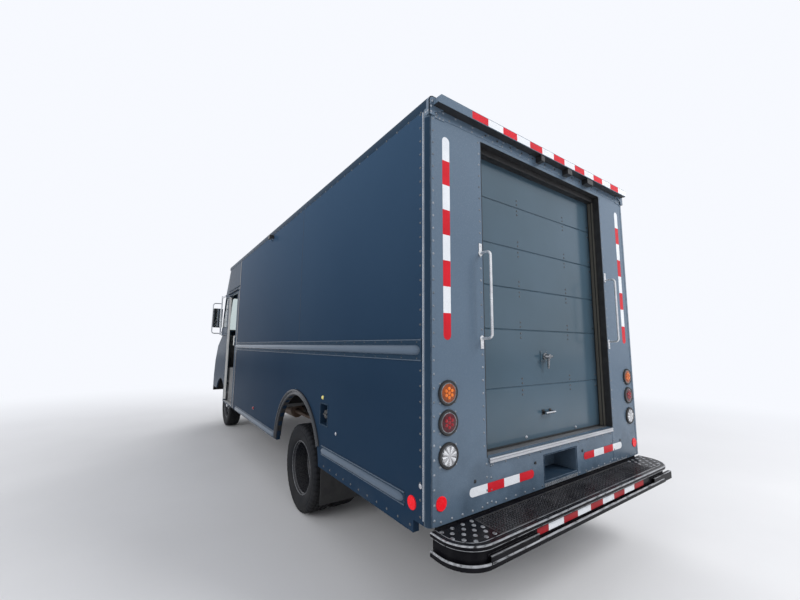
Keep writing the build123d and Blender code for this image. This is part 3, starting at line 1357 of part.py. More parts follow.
def wheel_rim(middle, disc_x, dish):
    """Steel wheel about the X axis: barrel, a disc with hand holes, and a dished wall between them."""
    half = RIM_WIDTH / 2
    inner = RIM_RADIUS - RIM_THICKNESS
    root = RIM_RADIUS - RIM_THICKNESS / 2
    thick = DISC_THICKNESS
    rim = flat_ring([(middle - half, RIM_RADIUS), (middle + half, RIM_RADIUS), (middle + half, inner),
                     (middle - half, inner)], WHEEL_FLATS)
    rim += flat_rod_x(DISH_RADIUS, disc_x, disc_x + thick, 0, 0, DISC_FLATS)
    hub_side = DISH_RADIUS * math.cos(math.pi / DISC_FLATS) - RIM_THICKNESS
    root_side = root * math.cos(math.pi / DISC_FLATS)
    rim += flat_ring([(disc_x, hub_side), (disc_x + dish, root_side), (disc_x + dish + thick, root_side),
                      (disc_x + thick, hub_side)], DISC_FLATS)
    holes = []
    for index in range(HAND_HOLES):
        angle = math.radians(360 / HAND_HOLES * (index + 0.5))
        y = HAND_HOLE_CIRCLE * math.cos(angle)
        z = HAND_HOLE_CIRCLE * math.sin(angle)
        holes.append(flat_rod_x(HAND_HOLE_RADIUS, disc_x - CUT, disc_x + thick + CUT, y, z, HOLE_FLATS))
    return rim.cut(*holes)


def front_wheel():
    """Left front tyre, and its rim with hub and cap, on the spindle axis."""
    hub_low = FRONT_DISC_X - FRONT_HUB_LENGTH
    cap_low = FRONT_DISC_X + DISC_THICKNESS
    cap_high = cap_low + CAP_LENGTH
    rim = wheel_rim(FRONT_TYRE_X, FRONT_DISC_X, FRONT_DISH)
    rim += flat_rod_x(HUB_RADIUS, hub_low, FRONT_DISC_X, 0, 0, HUB_FLATS)
    rim += flat_rod_x(CAP_RADIUS, cap_low, cap_high, 0, 0, HUB_FLATS)
    rim -= rod_x(HUB_BORE, hub_low - CUT, cap_high - CAP_WALL, 0, 0)
    place = Pos(0, FRONT_AXLE_Y, TYRE_RADIUS)
    return place * wheel_tyre(FRONT_TYRE_X), place * rim


def rear_wheels():
    """Left twin tyres, and their rims with dished discs back to back on one hub."""
    inner_disc = DUAL_MIDDLE_X - DISC_THICKNESS
    hub_low = inner_disc - REAR_HUB_REACH
    hub_high = DUAL_MIDDLE_X + DISC_THICKNESS + REAR_HUB_OUT
    rims = wheel_rim(REAR_OUTER_TYRE_X, DUAL_MIDDLE_X, REAR_DISH)
    rims += wheel_rim(REAR_INNER_TYRE_X, inner_disc, -REAR_DISH)
    rims += flat_rod_x(HUB_RADIUS, hub_low, inner_disc, 0, 0, HUB_FLATS)
    rims += flat_rod_x(HUB_RADIUS - CAP_WALL, DUAL_MIDDLE_X, hub_high, 0, 0, HUB_FLATS)
    rims -= rod_x(HUB_BORE, hub_low - CUT, hub_high - CAP_WALL, 0, 0)
    place = Pos(0, REAR_AXLE_Y, TYRE_RADIUS)
    tyres = [place * wheel_tyre(REAR_OUTER_TYRE_X), place * wheel_tyre(REAR_INNER_TYRE_X)]
    return tyres, place * rims


def front_axle():
    """Dropped beam axle with an eye for each kingpin."""
    z = TYRE_RADIUS
    eye = KINGPIN_X
    pad = SPRING_X + SPRING_WIDTH / 2 + BEAM_PAD_MARGIN
    neck = (eye + pad) / 2
    low = z - BEAM_HALF
    high = z + BEAM_HALF
    half = [
        (0, PAD_TOP), (pad, PAD_TOP), (neck, high - BEAM_TAPER), (eye, high), (eye, low), (neck, low),
        (pad, BEAM_LOW), (0, BEAM_LOW),
    ]
    beam = prism_y(half, FRONT_AXLE_Y - BEAM_HALF, FRONT_AXLE_Y + BEAM_HALF)
    beam += flat_rod_z(AXLE_EYE_RADIUS, z - AXLE_EYE_HALF, z + AXLE_EYE_HALF, eye, FRONT_AXLE_Y)
    bore_half = AXLE_EYE_HALF + CUT
    beam -= rod_z(KINGPIN_RADIUS + KINGPIN_GAP, z - bore_half, z + bore_half, eye, FRONT_AXLE_Y)
    return beam + mirrored(beam)


def knuckle():
    """Left steering knuckle: forked ears, kingpin, spindle and steering arm."""
    x = KINGPIN_X
    y = FRONT_AXLE_Y
    z = TYRE_RADIUS
    ear_low = AXLE_EYE_HALF + SEAT_GAP
    ear_high = ear_low + KNUCKLE_EAR
    bridge = x + AXLE_EYE_RADIUS + BRIDGE_GAP
    bridge_out = bridge + BRIDGE_THICKNESS
    face = FRONT_DISC_X - FRONT_HUB_LENGTH - SEAT_GAP
    half = AXLE_EYE_RADIUS
    body = block(bridge, bridge_out, y - half, y + half, z - ear_high, z + ear_high)
    for low in (z + ear_low, z - ear_high):
        body += flat_rod_z(KNUCKLE_EAR_RADIUS, low, low + KNUCKLE_EAR, x, y)
        body += block(x, bridge + CUT, y - KNUCKLE_EAR, y + KNUCKLE_EAR, low, low + KNUCKLE_EAR)
    body += flat_rod_z(KINGPIN_RADIUS, z - ear_high, z + ear_high, x, y)
    body += flat_rod_x(STUB_RADIUS, bridge_out, face, y, z)
    body += flat_rod_x(SPINDLE_RADIUS, face, FRONT_DISC_X + DISC_THICKNESS + KINGPIN_RADIUS, y, z)
    arm_low = z - ear_high
    arm_top = arm_low + STEER_ARM_HEIGHT
    arm_y = y + STEER_ARM
    body += block(x - STEER_ARM_HALF, x + STEER_ARM_HALF, y + KINGPIN_RADIUS, arm_y, arm_low, arm_top)
    body += flat_rod_z(TIE_END_RADIUS, arm_low, arm_top, x, arm_y)
    return body - rod_z(BALL_PIN_RADIUS + BALL_PIN_GAP, arm_low - CUT, arm_top + CUT, x, arm_y)


def tie_rod():
    """Bar between the two steering arms, with an upright pin at each end."""
    arm_low = TYRE_RADIUS - AXLE_EYE_HALF - SEAT_GAP - KNUCKLE_EAR
    y = FRONT_AXLE_Y + STEER_ARM
    top = arm_low - SEAT_GAP
    rod = flat_rod_x(TIE_ROD_RADIUS, -KINGPIN_X, KINGPIN_X, y, top - TIE_END_RADIUS, TUBE_FLATS)
    for x in (-KINGPIN_X, KINGPIN_X):
        rod += flat_rod_z(TIE_END_RADIUS, top - 2 * TIE_END_RADIUS, top, x, y)
        rod += flat_rod_z(BALL_PIN_RADIUS, top, arm_low + STEER_ARM_HEIGHT + RUNNING_GAP, x, y)
    return rod


def leaf_spring(y, half_length, seat_z):
    """One leaf pack with its two eyes and the hangers on the rail."""
    x_low = SPRING_X - SPRING_WIDTH / 2
    x_high = SPRING_X + SPRING_WIDTH / 2
    eye_z = SPRING_EYE_Z
    leaf = SPRING_LEAF
    seat = SPRING_SEAT_HALF
    top = seat_z + SPRING_THICKNESS
    low = top - leaf
    main = [
        (y - half_length, eye_z), (y - seat, low), (y + seat, low), (y + half_length, eye_z),
        (y + half_length, eye_z + leaf), (y + seat, top), (y - seat, top), (y - half_length, eye_z + leaf),
    ]
    short = half_length * SPRING_SHORT_SHARE
    short_z = seat_z + (eye_z - seat_z) * SPRING_SHORT_RISE + leaf
    second = [
        (y - short, short_z), (y - seat, seat_z), (y + seat, seat_z), (y + short, short_z),
        (y + seat, low), (y - seat, low),
    ]
    spring = prism_x(main, x_low, x_high) + prism_x(second, x_low, x_high)
    for eye_y in (y - half_length, y + half_length):
        spring += flat_rod_x(SPRING_EYE_RADIUS, x_low, x_high, eye_y, eye_z + leaf / 2, TUBE_FLATS)
        spring += block(RAIL_OUTER, x_high, eye_y - HANGER_HALF, eye_y + HANGER_HALF,
                        eye_z + leaf, RAIL_BOTTOM + HANGER_REACH)
    return spring


def rear_axle():
    """Drive axle: banjo housing, tubes, spring pads, spindles and propeller shaft."""
    y = REAR_AXLE_Y
    z = TYRE_RADIUS
    tube_end = DUAL_MIDDLE_X - DISC_THICKNESS - REAR_HUB_REACH - SEAT_GAP
    axle = flat_rod_x(REAR_TUBE_RADIUS, -tube_end, tube_end, y, z)
    banjo = [
        (-BANJO_OUT, REAR_TUBE_RADIUS), (-BANJO_HALF, BANJO_RADIUS), (BANJO_HALF, BANJO_RADIUS),
        (BANJO_OUT, REAR_TUBE_RADIUS),
    ]
    axle += flat_turned(banjo, SMALL_FLATS, y, z)
    axle += flat_rod_x(SPINDLE_RADIUS, -DUAL_MIDDLE_X - REAR_HUB_REACH, DUAL_MIDDLE_X + REAR_HUB_REACH, y, z)
    for x in (-SPRING_X, SPRING_X):
        axle += block(x - SPRING_PAD_HALF, x + SPRING_PAD_HALF, y - REAR_TUBE_RADIUS, y + REAR_TUBE_RADIUS,
                      z, REAR_PAD_TOP)
    nose_y = y - PINION_LENGTH
    axle += flat_rod_y(PINION_RADIUS, nose_y, y, 0, z)
    return axle + flat_rod_y(SHAFT_RADIUS, FRONT_AXLE_Y + SHAFT_FRONT_GAP, nose_y, 0, z)


def engine():
    """Plain mass for the engine and the lower gearbox behind it, resting on two crossmembers."""
    low = RAIL_BOTTOM + RAIL_WEB + ENGINE_SEAT
    front = FRONT_AXLE_Y - ENGINE_AHEAD
    rear = A_POST + ENGINE_REAR
    split = FIREWALL - FIREWALL_THICKNESS - TANK_GAP
    gearbox_top = RAIL_TOP - ENGINE_GAP
    outline = [
        (front, low), (rear, low), (rear, gearbox_top), (split, gearbox_top), (split, ENGINE_HIGH),
        (front, ENGINE_HIGH),
    ]
    return prism_x(outline, -ENGINE_HALF, ENGINE_HALF)


def fuel_tank():
    """Rounded tank outside the right frame rail."""
    front = B_POST + TANK_BACK
    rear = front + TANK_LENGTH
    tank = block(TANK_INSET - HALF_WIDTH, -RAIL_OUTER, front, rear, TANK_LOW, RAIL_TOP - TANK_GAP)
    middle = (front + rear) / 2
    return fillet([edge for edge in tank.edges() if abs(edge.center().Y - middle) < CUT], TANK_ROUND)


def exhaust():
    """Silencer, front pipe and tail pipe beside the left rail."""
    x = RAIL_OUTER + EXHAUST_OUT
    z = RAIL_BOTTOM + EXHAUST_RISE
    front = B_POST + TANK_BACK
    rear = front + SILENCER_LENGTH
    body = flat_rod_y(SILENCER_RADIUS, front, rear, x, z)
    body += flat_rod_y(PIPE_RADIUS, FRONT_AXLE_Y + PIPE_FRONT, front, x, z, TUBE_FLATS)
    body += flat_rod_y(PIPE_RADIUS, rear, REAR_AXLE_Y - PIPE_END, x, z, TUBE_FLATS)
    middle = (front + rear) / 2
    half = EXHAUST_HANGER / 2
    return body + block(RAIL_OUTER, x, middle - half, middle + half, z - half, z + half)


def dashboard():
    """Dash shelf across the cab, kick panels, firewall and the steering column's bracket."""
    top = COWL_Z - DASH_DROP
    half = NOSE_INNER
    rear = A_POST - DASH_BACK
    front = COWL_Y + DASH_FRONT
    knee = rear - DASH_KNEE
    shelf = [
        (front, top), (rear - DASH_SLOPE, top), (rear, top - DASH_SLOPE), (rear, top - DASH_FACE),
        (knee, DASH_LOW), (FIREWALL, DASH_LOW), (FIREWALL, top - DASH_SLOPE), (front, top - DASH_FRONT),
    ]
    dash = prism_x(shelf, -half, half)
    wall_top = DASH_LOW + 2 * DASH_SLOPE
    dash += block(-half, half, FIREWALL - FIREWALL_THICKNESS, FIREWALL, FLOOR_UNDERSIDE, wall_top)
    kick_top = DASH_LOW + KICK_LAP
    kick = block(STEP_INNER_X, half, A_POST - STEP_THICKNESS, A_POST, FLOOR_TOP, kick_top)
    kick += block(STEP_INNER_X, half, knee, A_POST, kick_top - KICK_LAP / 2, kick_top)
    return dash + kick + mirrored(kick) + steering_column()


def column_place(offset):
    """A plane across the steering column, offset along it from the wheel."""
    tilt = math.radians(WHEEL_TILT)
    along = Vector(0, math.sin(tilt), math.cos(tilt))
    centre = Vector(SEAT_X, A_POST + WHEEL_BACK, WHEEL_HEIGHT) + along * offset
    return Plane(origin=centre, x_dir=(1, 0, 0), z_dir=along)


def steering_column():
    """Column from the floor to the wheel's hub, with a bracket under the dash."""
    length = COLUMN_LENGTH - WHEEL_HUB_LENGTH
    column = column_place(-COLUMN_LENGTH).location * flat_rod_z(COLUMN_RADIUS, 0, length, 0, 0, TUBE_FLATS)
    rear = A_POST - DASH_BACK
    middle = rear - BRACKET_BACK
    half = COLUMN_RADIUS + BRACKET_WALL
    return column + block(SEAT_X - half, SEAT_X + half, middle - half, middle + half,
                          DASH_LOW + KICK_LAP, DASH_LOW + DASH_FACE / 2)


def steering_wheel():
    """Three-spoke wheel on a short hub."""
    rim = WHEEL_RIM
    radius = WHEEL_RADIUS
    profile = [
        (-rim, radius - rim / 2), (-rim, radius + rim / 2), (0, radius + rim), (rim, radius + rim / 2),
        (rim, radius - rim / 2), (0, radius - rim),
    ]
    wheel = Rot(0, -90, 0) * flat_ring(profile, STEERING_FLATS)
    wheel += flat_rod_z(WHEEL_HUB_RADIUS, SEAT_GAP - WHEEL_HUB_LENGTH, 0, 0, 0)
    spoke = block(0, radius, -SPOKE_HALF, SPOKE_HALF, -SPOKE_HALF, 0)
    for angle in (90, 210, 330):
        wheel += Rot(0, 0, angle) * spoke
    return column_place(0).location * wheel


def driver_seat():
    """Pedestal, cushion and back as one plain seat."""
    half = SEAT_HALF
    middle = A_POST + SEAT_BACK
    top = FLOOR_TOP + SEAT_HEIGHT
    low = top - SEAT_CUSHION
    foot = PEDESTAL_HALF
    seat = block(SEAT_X - foot, SEAT_X + foot, middle - foot, middle + foot, FLOOR_TOP, low)
    seat += block(SEAT_X - half, SEAT_X + half, middle - half, middle + half, low, top)
    high = top + SEAT_BACK_HEIGHT
    rear = middle + half
    back = [
        (rear - SEAT_CUSHION, low + SEAT_CUSHION / 2), (rear, low + SEAT_CUSHION / 2),
        (rear + SEAT_RECLINE, high), (rear + SEAT_RECLINE - SEAT_BACK_THICKNESS, high),
    ]
    return seat + prism_x(back, SEAT_X - half, SEAT_X + half)


def partition():
    """Wall between cab and load space with an open walk-through."""
    front = B_POST + PARTITION_BACK
    rear = front + PARTITION_THICKNESS
    wall = block(-WELL_EDGE_X, WELL_EDGE_X, front, rear, FLOOR_TOP, ROOF_UNDERSIDE)
    half = PARTITION_DOOR_HALF
    return wall - block(-half, half, front - CUT, rear + CUT, FLOOR_TOP - CUT, PARTITION_DOOR_TOP)


def header_rail():
    """Drip rail over the rear door, with the small boxes that hang below it."""
    half = HALF_WIDTH - DRIP_RAIL_END
    shoulder = ROOF_TOP - DRIP_RAIL_END
    outline = [
        (-half, DRIP_RAIL_LOW), (half, DRIP_RAIL_LOW), (half, shoulder), (half - DRIP_RAIL_END, ROOF_TOP),
        (DRIP_RAIL_END - half, ROOF_TOP), (-half, shoulder),
    ]
    rail = prism_y(outline, REAR_FACE, REAR_FACE + RAIL_OVERHANG)
    near = REAR_FACE + PLATE_PROUD
    box_low = DRIP_RAIL_LOW - HEADER_BOX_HANG
    for x, width in HEADER_BOXES:
        rail += block(x - width / 2, x + width / 2, near, near + HEADER_BOX_DEPTH, box_low, DRIP_RAIL_LOW)
    return rail


def marker_lamps():
    """Clearance lamps on the slope above the windscreen."""
    run = Vector(0, HEADER_Y - HEADER_TOP_Y, HEADER_Z - ROOF_TOP)
    out = Vector(0, run.Z, -run.Y).normalized() * CLEARANCE_LAMP_PROUD
    corner = Vector(0, HEADER_TOP_Y, ROOF_TOP)
    high = corner + run * CLEARANCE_LAMP_TOP
    low = corner + run * CLEARANCE_LAMP_LOW
    outline = [(point.Y, point.Z) for point in (high, low, low + out, high + out)]
    return [prism_x(outline, x - CLEARANCE_LAMP_HALF, x + CLEARANCE_LAMP_HALF) for x in CLEARANCE_LAMP_X]


os.makedirs("parts", exist_ok=True)

save("chassis_frame", chassis_frame())
save("floor", floor())
panel = side_panel()
save("side_panel_left", panel - filler_cup(0, INNER_HALF - CUT, HALF_WIDTH + CUT))
save("side_panel_right", mirrored(panel))
save("roof", roof())
save("rear_frame", rear_frame())
save("step_pocket", step_pocket())
save("threshold", threshold())
save("rear_door", roll_door())
save("door_hardware", *door_latch())
save("grab_handles", *both_sides(grab_handle()))
save("rear_step", rear_step())
grating, rods = step_tread()
save("step_tread", grating, *rods)
lamps = rear_lamps()
save("rear_lamps", *lamps, *[mirrored(lamp) for lamp in lamps])
rails = rub_rails()
save("rub_rails", *rails, *[mirrored(rail) for rail in rails])
save("arch_flares", *both_sides(arch_flare()))
save("door_frames", *both_sides(door_frame()))
save("door_tracks", *both_sides(door_track()))
door, glass = sliding_door()
save("door_left", door)
save("door_left_glass", glass)
shut = Pos(0, -DOOR_TRAVEL, 0)
save("door_right", shut * mirrored(door))
save("door_right_glass", shut * mirrored(glass))
save("cab_front", cab_front())
save("windscreen", *windscreen())
save("nose", nose())
save("hood", hood())
save("grille", grille())
save("headlamps", *both_sides(headlamp()))
save("front_bumper", front_bumper())
save("mirrors", *both_sides(mirror_set()))
save("fuel_filler", filler_pocket())
save("front_axle", front_axle())
left_knuckle, right_knuckle = both_sides(knuckle())
save("knuckle_left", left_knuckle)
save("knuckle_right", right_knuckle)
save("tie_rod", tie_rod())
tyre, rim = front_wheel()
save("front_tyre_left", tyre)
save("front_rim_left", rim)
save("front_tyre_right", mirrored(tyre))
save("front_rim_right", mirrored(rim))
tyres, rims = rear_wheels()
save("rear_tyres_left", *tyres)
save("rear_rims_left", rims)
save("rear_tyres_right", *[mirrored(tyre) for tyre in tyres])
save("rear_rims_right", mirrored(rims))
save("rear_axle", rear_axle())
front_spring = leaf_spring(FRONT_AXLE_Y, FRONT_SPRING_HALF, PAD_TOP)
rear_spring = leaf_spring(REAR_AXLE_Y, REAR_SPRING_HALF, REAR_PAD_TOP)
save("leaf_springs", *both_sides(front_spring), *both_sides(rear_spring))
save("engine", engine())
save("fuel_tank", fuel_tank())
save("exhaust", exhaust())
save("dashboard", dashboard())
save("steering_wheel", steering_wheel())
save("driver_seat", driver_seat())
save("partition", partition())
save("header_rail", header_rail())
save("marker_lamps", *marker_lamps())
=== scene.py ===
import math
import bpy
from mathutils import Matrix, Vector


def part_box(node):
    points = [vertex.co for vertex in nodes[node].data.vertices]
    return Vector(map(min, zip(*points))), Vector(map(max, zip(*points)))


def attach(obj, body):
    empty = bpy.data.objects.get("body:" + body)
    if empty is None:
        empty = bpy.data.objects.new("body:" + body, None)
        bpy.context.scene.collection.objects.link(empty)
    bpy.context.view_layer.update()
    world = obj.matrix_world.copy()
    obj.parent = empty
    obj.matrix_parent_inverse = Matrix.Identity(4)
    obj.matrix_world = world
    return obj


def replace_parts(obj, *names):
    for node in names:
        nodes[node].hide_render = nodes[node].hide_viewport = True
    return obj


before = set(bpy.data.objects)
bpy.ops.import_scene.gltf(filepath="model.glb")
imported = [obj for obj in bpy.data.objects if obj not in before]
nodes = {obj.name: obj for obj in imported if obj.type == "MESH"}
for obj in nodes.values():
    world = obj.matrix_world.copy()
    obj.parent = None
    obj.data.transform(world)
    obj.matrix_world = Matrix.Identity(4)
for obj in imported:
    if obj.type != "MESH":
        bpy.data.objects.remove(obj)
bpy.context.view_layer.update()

# The dressed look of the step van, in metres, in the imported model's frame.
# +Z is up, the van faces -Y and its left side is +X.

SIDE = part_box("side_panel_left")[1].x
WALL_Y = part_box("side_panel_left")[1].y + 0.04
PLATE_Y = WALL_Y + 0.002
DOOR_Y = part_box("rear_door")[1].y
STEP_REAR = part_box("rear_step")[1].y
HUB_Z = 0.405
REAR_AXLE_Y = 1.595
FRONT_AXLE_Y = -2.925
X_AXIS = Vector((1, 0, 0))
Y_AXIS = Vector((0, 1, 0))
Z_AXIS = Vector((0, 0, 1))


def turns(count):
    """Angles evenly round a full circle."""
    return [2 * math.pi * index / count for index in range(count)]


class Shape:
    """Faces gathered for one joined mesh."""

    def __init__(self):
        self.points = []
        self.faces = []

    def add(self, points, faces):
        start = len(self.points)
        self.points += [tuple(point) for point in points]
        self.faces += [tuple(start + index for index in face) for face in faces]

    def box(self, low, high):
        """An upright box between two opposite corners."""
        (x0, x1), (y0, y1), (z0, z1) = (sorted(pair) for pair in zip(low, high))
        self.plate([(x0, y0, z0), (x1, y0, z0), (x1, y1, z0), (x0, y1, z0)], (0, 0, z1 - z0))

    def plate(self, outline, thickness):
        """A flat outline carried along a vector."""
        count = len(outline)
        shift = Vector(thickness)
        points = [Vector(point) for point in outline]
        sides = [(i, (i + 1) % count, count + (i + 1) % count, count + i) for i in range(count)]
        ends = [tuple(reversed(range(count))), tuple(range(count, 2 * count))]
        self.add(points + [point + shift for point in points], sides + ends)

    def loft(self, loops, closed=False, caps=True):
        """A skin over loops of points; closed joins the last loop to the first."""
        count = len(loops[0])
        rows = len(loops)
        faces = []
        for row in range(rows if closed else rows - 1):
            a = row * count
            b = (row + 1) % rows * count
            faces += [(a + i, a + (i + 1) % count, b + (i + 1) % count, b + i) for i in range(count)]
        if caps and not closed:
            faces.append(tuple(reversed(range(count))))
            faces.append(tuple(range((rows - 1) * count, rows * count)))
        self.add([point for loop in loops for point in loop], faces)

    def tube(self, path, radius, sides=12):
        """A round bar along a list of points; radius may be one number or one per point."""
        path = [Vector(point) for point in path]
        across = (path[1] - path[0]).orthogonal().normalized()
        loops = []
        for index, point in enumerate(path):
            ahead = path[min(index + 1, len(path) - 1)] - path[max(index - 1, 0)]
            ahead.normalize()
            across = (across - ahead * across.dot(ahead)).normalized()
            side = ahead.cross(across)
            size = radius[index] if isinstance(radius, list) else radius
            loops.append([point + (across * math.cos(t) + side * math.sin(t)) * size for t in turns(sides)])
        self.loft(loops)

    def lathe(self, profile, centre, axis=X_AXIS, sides=48, closed=False):
        """Turn (along, radius) pairs about an axis through a centre."""
        across = axis.orthogonal().normalized()
        side = axis.cross(across)
        loops = []
        for along, radius in profile:
            middle = Vector(centre) + axis * along
            loops.append([middle + (across * math.cos(t) + side * math.sin(t)) * radius
                          for t in turns(sides)])
        self.loft(loops, closed)

    def dome(self, centre, normal, radius, height, sides=10):
        """A rivet or button head."""
        profile = [(0, radius), (height * 0.6, radius * 0.78), (height, radius * 0.35)]
        self.lathe(profile, centre, normal, sides)

    def mirrored(self):
        """The same shape on the other side of the van."""
        other = Shape()
        other.add([(-x, y, z) for x, y, z in self.points], [tuple(reversed(face)) for face in self.faces])
        return other

    def mirror(self):
        """Add the mirror image of all that is here."""
        other = self.mirrored()
        self.add(other.points, other.faces)

    def make(self, name, material, body="truck", slot="paint", bevel=0.0, smooth=40):
        """Turn the gathered faces into a piece that rides on a body."""
        mesh = bpy.data.meshes.new(name)
        mesh.from_pydata(self.points, [], self.faces)
        mesh.shade_smooth()
        mesh.set_sharp_from_angle(angle=math.radians(smooth))
        piece = bpy.data.objects.new(name, mesh)
        bpy.context.scene.collection.objects.link(piece)
        mesh.materials.append(material)
        if bevel:
            add_bevel(piece, bevel)
        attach(piece, body)
        return piece


def add_bevel(piece, width):
    bevel = piece.modifiers.new("bevel", "BEVEL")
    bevel.width = width
    bevel.segments = 2
    bevel.limit_method = "ANGLE"
    bevel.angle_limit = math.radians(35)
    bevel.use_clamp_overlap = True
    bevel.harden_normals = True


def bent(points, bend, steps=8):
    """A route whose inner corners are replaced by arcs."""
    points = [Vector(point) for point in points]
    route = [points[0]]
    for before, corner, after in zip(points, points[1:], points[2:]):
        back = (before - corner).normalized()
        ahead = (after - corner).normalized()
        half = (math.pi - back.angle(ahead)) / 2
        centre = corner + (back + ahead).normalized() * (bend / math.cos(half))
        spoke = corner + back * (bend * math.tan(half)) - centre
        for step in range(steps + 1):
            turn = 2 * half * step / steps
            route.append(centre + spoke * math.cos(turn) - back * (bend * math.sin(turn)))
    route.append(points[-1])
    return route


def add_node(tree, kind, inputs=(), **settings):
    """A shader node whose inputs are given as (socket, value or linked output) pairs."""
    node = tree.nodes.new("ShaderNode" + kind)
    for key, value in settings.items():
        setattr(node, key, value)
    for socket, value in inputs:
        if isinstance(value, bpy.types.NodeSocket):
            tree.links.new(value, node.inputs[socket])
        else:
            node.inputs[socket].default_value = value
    return node


def combine(tree, operation, first, second):
    return add_node(tree, "Math", [(0, first), (1, second)], operation=operation).outputs["Value"]


def surface(name, colour, other, spot=1.2, rough=(0.3, 0.45), grain=90.0, bump=0.05, stretch=(1, 1, 1),
            low_tint=None, cells=0.0, streak=None, edge=None, painted_reflection=None, **sockets):
    """A procedural finish: two tones in broad patches, grain in gloss and height, marks on top.

    dust holds colour, height and share of a tint that grows towards the bottom; streak holds colour, scale
    and threshold; edge holds colour and radius of the worn edges; fade holds colour, the heights where it
    starts and ends, and share of a painted sky reflection that grows towards the top.
    """
    material = bpy.data.materials.new(name)
    material.use_nodes = True
    tree = material.node_tree
    shader = tree.nodes["Principled BSDF"]
    place = add_node(tree, "TexCoord").outputs["Object"]
    mapped = add_node(tree, "Mapping", [("Vector", place), ("Scale", stretch)]).outputs["Vector"]
    level = add_node(tree, "SeparateXYZ", [("Vector", place)]).outputs["Z"]

    def noise(scale, detail):
        return add_node(tree, "TexNoise", [("Vector", mapped), ("Scale", scale),
                                           ("Detail", detail)]).outputs["Fac"]

    def spread(value, low, high, to_low, to_high):
        limits = [("From Min", low), ("From Max", high), ("To Min", to_low), ("To Max", to_high)]
        return add_node(tree, "MapRange", [("Value", value)] + limits).outputs["Result"]

    def blend(share, under, over):
        under = (*under, 1) if isinstance(under, tuple) else under
        return add_node(tree, "Mix", [(0, share), (6, under), (7, (*over, 1))], data_type="RGBA").outputs[2]

    paint = blend(spread(noise(spot, 6), 0.35, 0.65, 0, 1), colour, other)
    fine = noise(grain, 4)
    height = fine
    if painted_reflection:
        paint = blend(spread(level, painted_reflection[1], painted_reflection[2], 0, painted_reflection[3]), paint, painted_reflection[0])
    if cells:
        scales = [("Vector", mapped), ("Scale", cells)]
        height = add_node(tree, "TexVoronoi", scales, feature="DISTANCE_TO_EDGE").outputs["Distance"]
        paint = blend(spread(height, 0.0, 0.12, 0.35, 0), paint, tuple(0.4 * part for part in colour))
    if streak:
        paint = blend(spread(noise(streak[1], 8), streak[2], streak[2] + 0.06, 0, 1), paint, streak[0])
    if low_tint:
        low = spread(level, 0.0, low_tint[1], low_tint[2], 0)
        speckle = spread(noise(7.0, 9), 0.35, 0.7, 0, 1)
        paint = blend(combine(tree, "MULTIPLY", low, speckle), paint, low_tint[0])
    if edge:
        rounded = add_node(tree, "Bevel", [("Radius", edge[1])], samples=4).outputs["Normal"]
        flat = add_node(tree, "NewGeometry").outputs["Normal"]
        facing = add_node(tree, "VectorMath", [(0, rounded), (1, flat)],
                          operation="DOT_PRODUCT").outputs["Value"]
        patches = spread(noise(26.0, 8), 0.4, 0.6, 0, 1)
        worn = combine(tree, "MULTIPLY", spread(facing, 0.8, 0.97, 1, 0), patches)
        paint = blend(worn, paint, edge[0])
    tree.links.new(paint, shader.inputs["Base Color"])
    tree.links.new(spread(fine, 0.3, 0.7, rough[0], rough[1]), shader.inputs["Roughness"])
    relief = add_node(tree, "Bump", [("Strength", bump), ("Distance", 0.002), ("Height", height)])
    tree.links.new(relief.outputs["Normal"], shader.inputs["Normal"])
    for key, number in sockets.items():
        shader.inputs[key.replace("_", " ")].default_value = number
    return material


# Paint; columns in every row: name, two tones, patch scale, roughness, grain scale, bump
EARTH = (0.21, 0.19, 0.16)
# The side paint is a darker, shaded copy of the body paint: painted shade on the side walls. Towards the top
# it blends into a lighter blue, a painted sky reflection.
PAINT_SIDE_SHADED = surface("paint_side_shaded", (0.014, 0.032, 0.062), (0.018, 0.038, 0.07), 0.7, (0.16, 0.22), 260,
                     0.008, low_tint=(EARTH, 0.9, 0.12), painted_reflection=((0.05, 0.096, 0.164), 1.3, 3.1, 0.66),
                     Specular_IOR_Level=0.004)
PAINT_RAIL = surface("paint_rail", (0.02, 0.04, 0.068), (0.024, 0.046, 0.076), 1.5, (0.14, 0.22), 220, 0.015,
                     low_tint=(EARTH, 0.9, 0.2), edge=((0.22, 0.25, 0.29), 0.003), Specular_IOR_Level=0.01)
# The bulge paint is a lighter copy of the rail paint: a painted highlight on the rails' rounded bulges and on
# the beads along their flange edges.
PAINT_BULGE_HIGHLIGHT = surface("paint_bulge_highlight", (0.092, 0.126, 0.172), (0.104, 0.142, 0.192), 1.5, (0.12, 0.2), 220,
                      0.015, low_tint=(EARTH, 0.9, 0.3), Specular_IOR_Level=0.12)
# The rear paint is a lighter, sunlit copy of the body paint: painted sunlight on the rear face. Towards the
# bottom it turns to a darker tone of the same paint.
PAINT_REAR_SUNLIT = surface("paint_rear_sunlit", (0.096, 0.141, 0.196), (0.108, 0.156, 0.214), 0.8, (0.2, 0.3), 240, 0.02,
                     low_tint=((0.04, 0.062, 0.09), 1.2, 1.6), Specular_IOR_Level=0.3)
PAINT_DOOR = surface("paint_door", (0.047, 0.083, 0.112), (0.058, 0.1, 0.138), 1.1, (0.12, 0.22), 220, 0.02,
                     low_tint=(EARTH, 1.2, 0.25), Specular_IOR_Level=0.4)
PAINT_CAB = surface("paint_cab", (0.026, 0.048, 0.08), (0.031, 0.055, 0.089), 0.8, (0.16, 0.24), 240, 0.015,
                    low_tint=(EARTH, 0.9, 0.2), Specular_IOR_Level=0.015)
# Rivet paint: a darker tone than the rear paint, painted shade round each head, mixed in patches with a pale
# grey, a painted highlight.
RIVET_SHADE_AND_HIGHLIGHT = surface("rivet_painted_shade_and_highlight", (0.045, 0.068, 0.092), (0.3, 0.33, 0.37), 2.2, (0.08, 0.16), 90, 0.02,
                      Coat_Weight=1.0, Coat_Roughness=0.05)
